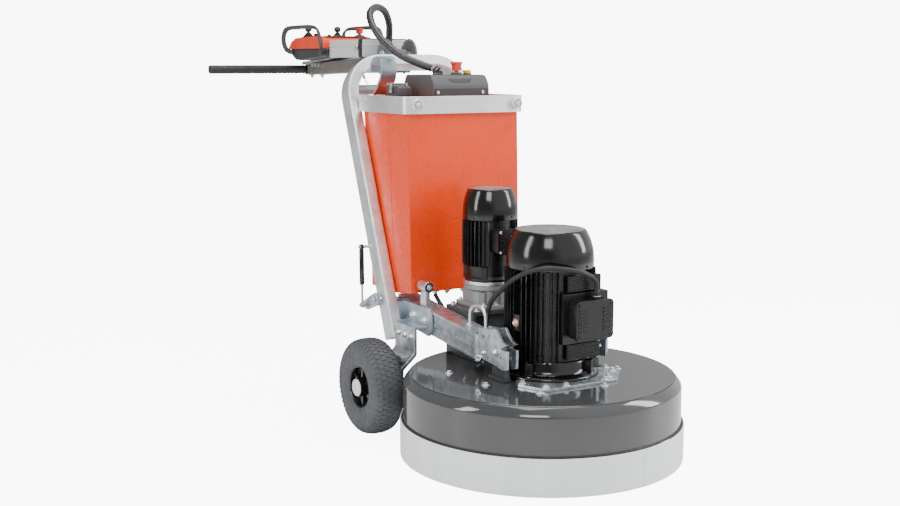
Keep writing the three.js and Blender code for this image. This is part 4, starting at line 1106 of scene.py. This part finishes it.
def build_connector():
    bm = bmesh.new()
    shell = [(560, 1052.3), (560, 1074), (563, 1081), (570, 1085), (630, 1085), (637, 1081), (640, 1074),
             (640, 1052.3)]
    prism(bm, shell, "x", -176, -128)
    lathe(bm, [(0, 0), (5, 0), (5, 60), (0, 60)], 20, pointing((-182, 600, 1067), (1, 0, 0)))
    piece("plug_hood", "chassis", bm, PEDESTAL, "grey_casting", ["connector_hood"], bevel=2.0, segments=3)
    bm = bmesh.new()
    box(bm, (-180, -124), (556, 644), (1052, 1057))
    piece("plug_gasket", "chassis", bm, RUBBER, "black_rubber", bevel=1.2)
    cheek = [(594, 1061), (594, 1073), (598, 1094), (636, 1094), (640, 1088), (606, 1088), (606, 1061)]
    bm = bmesh.new()
    for low, high in ((-184, -179.5), (-124.5, -120)):
        prism(bm, cheek, "x", low, high)
    box(bm, (-184, -120), (626, 637), (1088.5, 1094))
    for x, out in ((-184, -1), (-120, 1)):
        lathe(bm, [(0, 0), (6, 0), (5, 2), (0, 2.4)], 24, pointing((x, 600, 1067), (out, 0, 0)))
    piece("latch_bow", "latch", bm, STEEL, "machined_steel", ["connector_latch"], bevel=0.7)


# ---- Cables held at both ends ----
CONDUIT = [(-43, 575, 1141.5), (-70, 600, 1154), (-107, 640, 1176), (-137, 680, 1206), (-157, 720, 1243),
           (-165, 760, 1286), (-151, 800, 1324), (-101, 850, 1346), (-45, 895, 1334), (-10, 930, 1295),
           (2, 951, 1255), (2, 955, 1230)]
MOTOR_CABLE = [(57, -187, 514), (57, -187.5, 529), (50, -191, 543), (28, -196, 560), (-10, -197, 576),
               (-58, -190, 586), (-112, -172, 590), (-150, -137, 577), (-168, -90, 550), (-166, -36, 515),
               (-152, 40, 470), (-128, 95, 430), (-106, 140, 385), (-90, 180, 340), (-82, 230, 322),
               (-82, 330, 322), (-88, 390, 350), (-100, 425, 390), (-105, 450, 417)]


def build_cables():
    bm = bmesh.new()
    path = smooth_path(CONDUIT, 330)
    rows = []
    up = Vector((0, 0, 1))
    for i, point in enumerate(path):
        along = (path[min(i + 1, 330)] - path[max(i - 1, 0)]).normalized()
        side = along.cross(Vector((1, 0.3, 0))).normalized()
        rise = side.cross(along)
        radius = (12.5, 12.1, 11.5, 12.1)[i % 4]
        rows.append([bm.verts.new(point + side * u + rise * v) for u, v in circle(radius, 20)])
    skin(bm, rows)
    conduit = piece("conduit_hose", None, bm, CONDUIT_SKIN, "black_rubber", ["conduit"], sharp=60)
    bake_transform(conduit)
    bm = bmesh.new()
    glands = [((-28, 562, 1120), (0, 0, 1), 18, 14), ((-29, 562.5, 1131), (-0.55, 0.45, 0.7), 16, 16)]
    ring = bmesh.new()
    for at, up, radius, height in glands:
        cable_gland(bm, ring, at, radius, height, up)
    piece("conduit_gland", "chassis", bm, RUBBER, "dark_plastic", bevel=0.8)
    piece("conduit_ring", "chassis", ring, STEEL, "machined_steel")
    turned("conduit_inlet", "tiller", [(0, 1172), (17, 1172), (17, 1214), (14, 1226), (12.6, 1228),
                                       (0, 1228)], 32, RUBBER, "dark_plastic", at=moved(2, 955, 0), bevel=0.8)
    bm = bmesh.new()
    sweep(bm, smooth_path(MOTOR_CABLE, 220), circle(7, 18), up=Vector((0, 0.2, 1)))
    cable = piece("motor_lead", None, bm, RUBBER, "black_rubber", ["motor_cable"], sharp=60)
    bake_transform(cable)


# ---- Tiller: sectors, arm, bar ----
def build_tiller():
    pivot_y, pivot_z = TILLER
    for side, word in SIDES:
        outline = [(pivot_y - 54, 1150), (pivot_y + 40, 1120)]
        steps = 60
        for i in range(steps + 1):
            turn = -0.35 + (math.pi + 0.35) * i / steps
            notched = 18 <= i <= 42 and i % 6 in (0, 1)
            radius = 47.5 if notched else 55
            outline.append((pivot_y + radius * math.cos(turn), pivot_z + radius * math.sin(turn)))
        pushed(f"sector_plate_{word}", "chassis", (outline, "x", *across(side, 44, 51)), SECTOR_GREY,
               "grey_casting", [f"sector_{word}"], holes=[circle(11, 24, TILLER)], bevel=0.8)
        bm = bmesh.new()
        for y, z in ((pivot_y - 30, 1162), (pivot_y + 18, 1146)):
            cap_screw(bm, (side * 51, y, z), (side, 0, 0), 6, 4)
        piece(f"sector_screws_{word}", "chassis", bm, STEEL, "machined_steel")
    outline = [(871, 1192), (878, 1203), (894, 1207), (930, 1184), (1563, 1156), (1563, 1112), (940, 1130),
               (900, 1146), (886, 1168), (873, 1180)]
    pushed("arm_beam", "tiller", (outline, "x", -35, 35), ARM_PAINT, "dark_paint", bevel=5, segments=4)
    bm = bmesh.new()
    lathe(bm, [(0, 0), (10, 0), (10, 120), (0, 120)], 32, pointing((-60, *TILLER), (1, 0, 0)))
    for side in (-1, 1):
        hex_bolt(bm, (side * 57, *TILLER), (side, 0, 0), 19, 8, 14)
    piece("arm_pin", "tiller", bm, ZINC_BRIGHT, "zinc_steel", ["tiller_arm"], bevel=0.4)
    bm = bmesh.new()
    for x in (-22, 22):
        stud_and_nut(bm, (x, 1548, 1113), (0, 0, -1), 8, 13, 8)
    piece("arm_bolts", "tiller", bm, STEEL, "machined_steel")
    bm = bmesh.new()
    lathe(bm, [(0, -430), (14, -430), (14, 430), (0, 430)], 40, pointing((0, ARM_END_Y, BAR_Z), (1, 0, 0)))
    box(bm, (-35, 35), (1563.3, 1590), (BAR_Z - 20, BAR_Z + 18))
    piece("handlebar", "tiller", bm, BLACK_CAST, "black_paint", ["t_bar"], bevel=3, segments=3)
    for side, word in SIDES:
        bm = bmesh.new()
        profile = [(14.3, 42), (16.4, 42), (16.9, 44), (16.9, 48), (16, 50)]
        for k in range(62):
            start = 52 + k * 6
            profile += [(16, start), (16.4, start + 1), (16.4, start + 4), (16, start + 5)]
        profile += [(16.2, 428), (16, 431), (14.5, 433), (0, 433), (0, 430.5), (14.3, 430.5)]
        lathe(bm, profile, 40, moved(0, ARM_END_Y, BAR_Z) @ Matrix.Rotation(side * math.pi / 2, 4, "Y"))
        piece(f"grip_sleeve_{word}", "tiller", bm, RUBBER, "black_rubber", [f"grip_{word}"], sharp=50)


# ---- Radio remote ----
REMOTE_STOP = (80, 1335)
STICK_Y = 1490


def guard_path(side):
    return [(side * 100, 1268, 1200), (side * 122, 1250, 1196), (side * 128, 1238, 1222),
            (side * 128, 1262, 1274), (side * 128, 1310, 1290), (side * 128, 1450, 1292),
            (side * 128, 1548, 1286), (side * 128, 1578, 1250), (side * 120, 1572, 1212),
            (side * 98, 1562, 1198)]


def build_remote():
    bm = bmesh.new()
    box(bm, (-88, 88), (980, 1254), (1178, 1222))
    piece("cradle_box", "tiller", bm, PALE_PLASTIC, "grey_plastic", bevel=6, segments=4)
    bm = bmesh.new()
    box(bm, (-89.5, 89.5), (978.5, 1255.5), (1218, 1223))
    box(bm, (-87, 87), (981, 1253), (1222, 1240))
    piece("cradle_lid", "tiller", bm, PALE_PLASTIC, "grey_plastic", bevel=2.4, segments=3)
    bm = bmesh.new()
    prism(bm, [(1200, 1184), (1560, 1152), (1560, 1163), (1262, 1181.5), (1253, 1184)], "x", -60, 60)
    for k in range(3):
        box(bm, (-52, 52), (1420 + k * 30, 1438 + k * 30), (1146 - k, 1158 - k))
    piece("cradle_tray", "tiller", bm, STEEL, "grey_plastic", ["remote_cradle"], bevel=1)
    bm = bmesh.new()
    band = rounded_rectangle(186, 68, 8)
    inner = rounded_rectangle(178, 60, 5)
    prism(bm, [(u, v + 1210) for u, v in band], "y", 984, 1006, holes=[[(u, v + 1210) for u, v in inner]])
    piece("cradle_strap", "tiller", bm, RUBBER, "black_rubber", bevel=1)
    turned("cradle_knob", "tiller", [(0, 0), (8, 0), (10, 3), (9, 8), (5, 9), (5, 7), (0, 7)], 28, STEEL,
           "machined_steel", at=pointing((-92, 1014, 1212), (-1, 0, 0)), bevel=0.5)
    bm = bmesh.new()
    pan = [(1262, 1184), (1300, 1180), (1500, 1168), (1540, 1170), (1572, 1184), (1586, 1204), (1588, 1214),
           (1262, 1214)]
    prism(bm, pan, "x", -96, 96)
    piece("remote_pan", "tiller", bm, DARK_PLASTIC, "dark_plastic", ["remote_base"], bevel=8, segments=4)
    bm = bmesh.new()
    for side in (-1, 1):
        sweep(bm, smooth_path(guard_path(side), 90), rounded_rectangle(19, 9, 4, 3), up=Vector((1, 0, 0)))
    piece("remote_guards", "tiller", bm, DARK_PLASTIC, "dark_plastic", sharp=60)
    bm = bmesh.new()
    lid = [(1268, 1212), (1270, 1236), (1276, 1247), (1292, 1254), (1320, 1258), (1520, 1254), (1556, 1243),
           (1578, 1228), (1588, 1216), (1586, 1212)]
    prism(bm, lid, "x", -103, 103)
    piece("remote_lid", "tiller", bm, ORANGE_PLASTIC, "orange_plastic", ["remote_cover"], bevel=11,
          segments=5)
    pushed("remote_panel", "tiller", ([(u, v + 1400) for u, v in rounded_rectangle(172, 232, 14)], "z",
                                      1253, 1258.4), DARK_PLASTIC, "dark_plastic", bevel=1)
    bm = bmesh.new()
    for x in (-50, -20, 10):
        lathe(bm, [(0, 1258), (7, 1258), (7, 1262), (5, 1264), (0, 1264)], 24, moved(x, 1330, 0))
    lathe(bm, [(0, 1258), (11, 1258), (10, 1268), (0, 1269)], 28, moved(-70, 1400, 0))
    piece("remote_switches", "tiller", bm, RUBBER, "black_rubber", bevel=0.5)
    for x, word in ((-62, "left"), (62, "right")):
        at = moved(x, STICK_Y, 0)
        bm = bmesh.new()
        profile = [(7, 1257)]
        for k in range(5):
            profile += [(24 - 3 * k, 1257 + 3.6 * k), (20 - 3 * k, 1259 + 3.6 * k)]
        lathe(bm, [*profile, (7, 1275)], 36, at)
        boot = piece(f"stick_boot_{word}", None, bm, RUBBER, "black_rubber", sharp=50)
        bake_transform(boot)
        turned(f"stick_knob_{word}", f"stick_{word}",
               [(0, 1244), (5, 1244), (5, 1276), (11, 1280), (13.5, 1287), (12, 1294), (7, 1298),
                (0, 1299)], 36, DARK_PLASTIC, "orange_plastic", [f"joystick_{word}"], at=at, sharp=50)
    at = moved(*REMOTE_STOP, 0)
    turned("remote_stop_base", "tiller", [(8, 1253), (19, 1253), (19, 1260.5), (16, 1262.5), (8, 1262.5)],
           40, DARK_PLASTIC, "dark_plastic", at=at, bevel=0.5)
    turned("remote_stop_ring", "tiller", [(8, 1262.5), (13.4, 1262.5), (13.4, 1264.5), (8, 1264.5)], 40,
           GREEN, "dark_plastic", at=at)
    bm = bmesh.new()
    mushroom(bm, at, 1243, 1271, 17.5, 17)
    piece("remote_stop_head", "remote_stop", bm, RED, "red_button", ["remote_estop"], sharp=50)


# ---- Behind the hoop: a zinc hook and a lanyard; under the head: discs and tools ----
def build_lanyard():
    bm = bmesh.new()
    hook = [(742, 1060), (716, 1082), (690, 1112), (682, 1140), (690, 1162), (708, 1172), (730, 1166),
            (748, 1150), (752, 1130), (760, 1131), (757, 1154), (737, 1174), (708, 1181), (682, 1170),
            (672, 1140), (682, 1106), (708, 1074), (736, 1052)]
    prism(bm, hook, "x", -176, -118)
    piece("cable_hook", "chassis", bm, ZINC_BLUE, "zinc_steel", bevel=1.5)
    bm = bmesh.new()
    path = smooth_path([(-230, 700, 1108), (-238, 690, 1130), (-226, 712, 1128), (-204, 735, 1100),
                        (-190, 742, 1090)], 40)
    sweep(bm, path, circle(1.8, 10))
    piece("lanyard", "chassis", bm, STEEL, "machined_steel", sharp=60)
    turned("lanyard_ferrule", "chassis", [(0, 0), (3.6, 0), (3.6, 14), (0, 14)], 18, COPPER,
           "machined_steel", at=pointing(path[24], path[25] - path[24]), bevel=0.4)


def build_underside():
    for number in (1, 2, 3):
        angle = math.pi / 6 + 2 * math.pi * (number - 1) / 3
        x, y = 275 * math.cos(angle), 275 * math.sin(angle)
        turned(f"disc_plate_{number}", f"disc_{number}",
               [(0, 20.3), (133.5, 20.3), (135, 22), (135, 34), (133, 36), (70, 42), (61, 68), (28, 74),
                (28, 125), (0, 125)], 72, STEEL, "machined_steel", [f"grinding_disc_{number}"],
                at=moved(x, y, 0), bevel=0.5)
        bm = bmesh.new()
        lathe(bm, [(78, 11), (128, 11), (128, 20), (78, 20)], 72, moved(x, y, 0))
        for k in range(12):
            turn = moved(x, y, 0) @ Matrix.Rotation(math.pi * k / 6, 4, "Z")
            cap_screw(bm, turn @ Vector((88 + 30 * (k % 2), 0, 11)), (0, 0, -1), 5, 3)
        piece(f"tool_holder_{number}", f"disc_{number}", bm, ORANGE, "diamond_segment", bevel=0.6)
        bm = bmesh.new()
        for k in range(6):
            turn = moved(x, y, 0) @ Matrix.Rotation(math.pi * k / 3, 4, "Z")
            prism(bm, [(103 + u, v) for u, v in rounded_rectangle(22, 34, 9)], "z", 0, 11.5, turn)
        piece(f"tool_segments_{number}", f"disc_{number}", bm, SEGMENT, "diamond_segment",
              [f"diamond_tools_{number}"], bevel=0.8)


build_head()
build_motor_plate()
build_main_motor()
build_small_motor()
build_gearbox()
build_hoop()
for side, word in SIDES:
    build_pivot(side, word)
    build_beam(side, word)
    build_axle_bracket(side, word)
    build_wheel(side, word)
build_spring()
build_cabinet()
build_rail()
build_console()
build_connector()
build_cables()
build_tiller()
build_remote()
build_lanyard()
build_underside()
for node in ("main_rotor", "planet_carrier", "drive_pulley"):
    dress(node, STEEL)
dress("drive_belt", RUBBER)
make_stage()
make_camera()
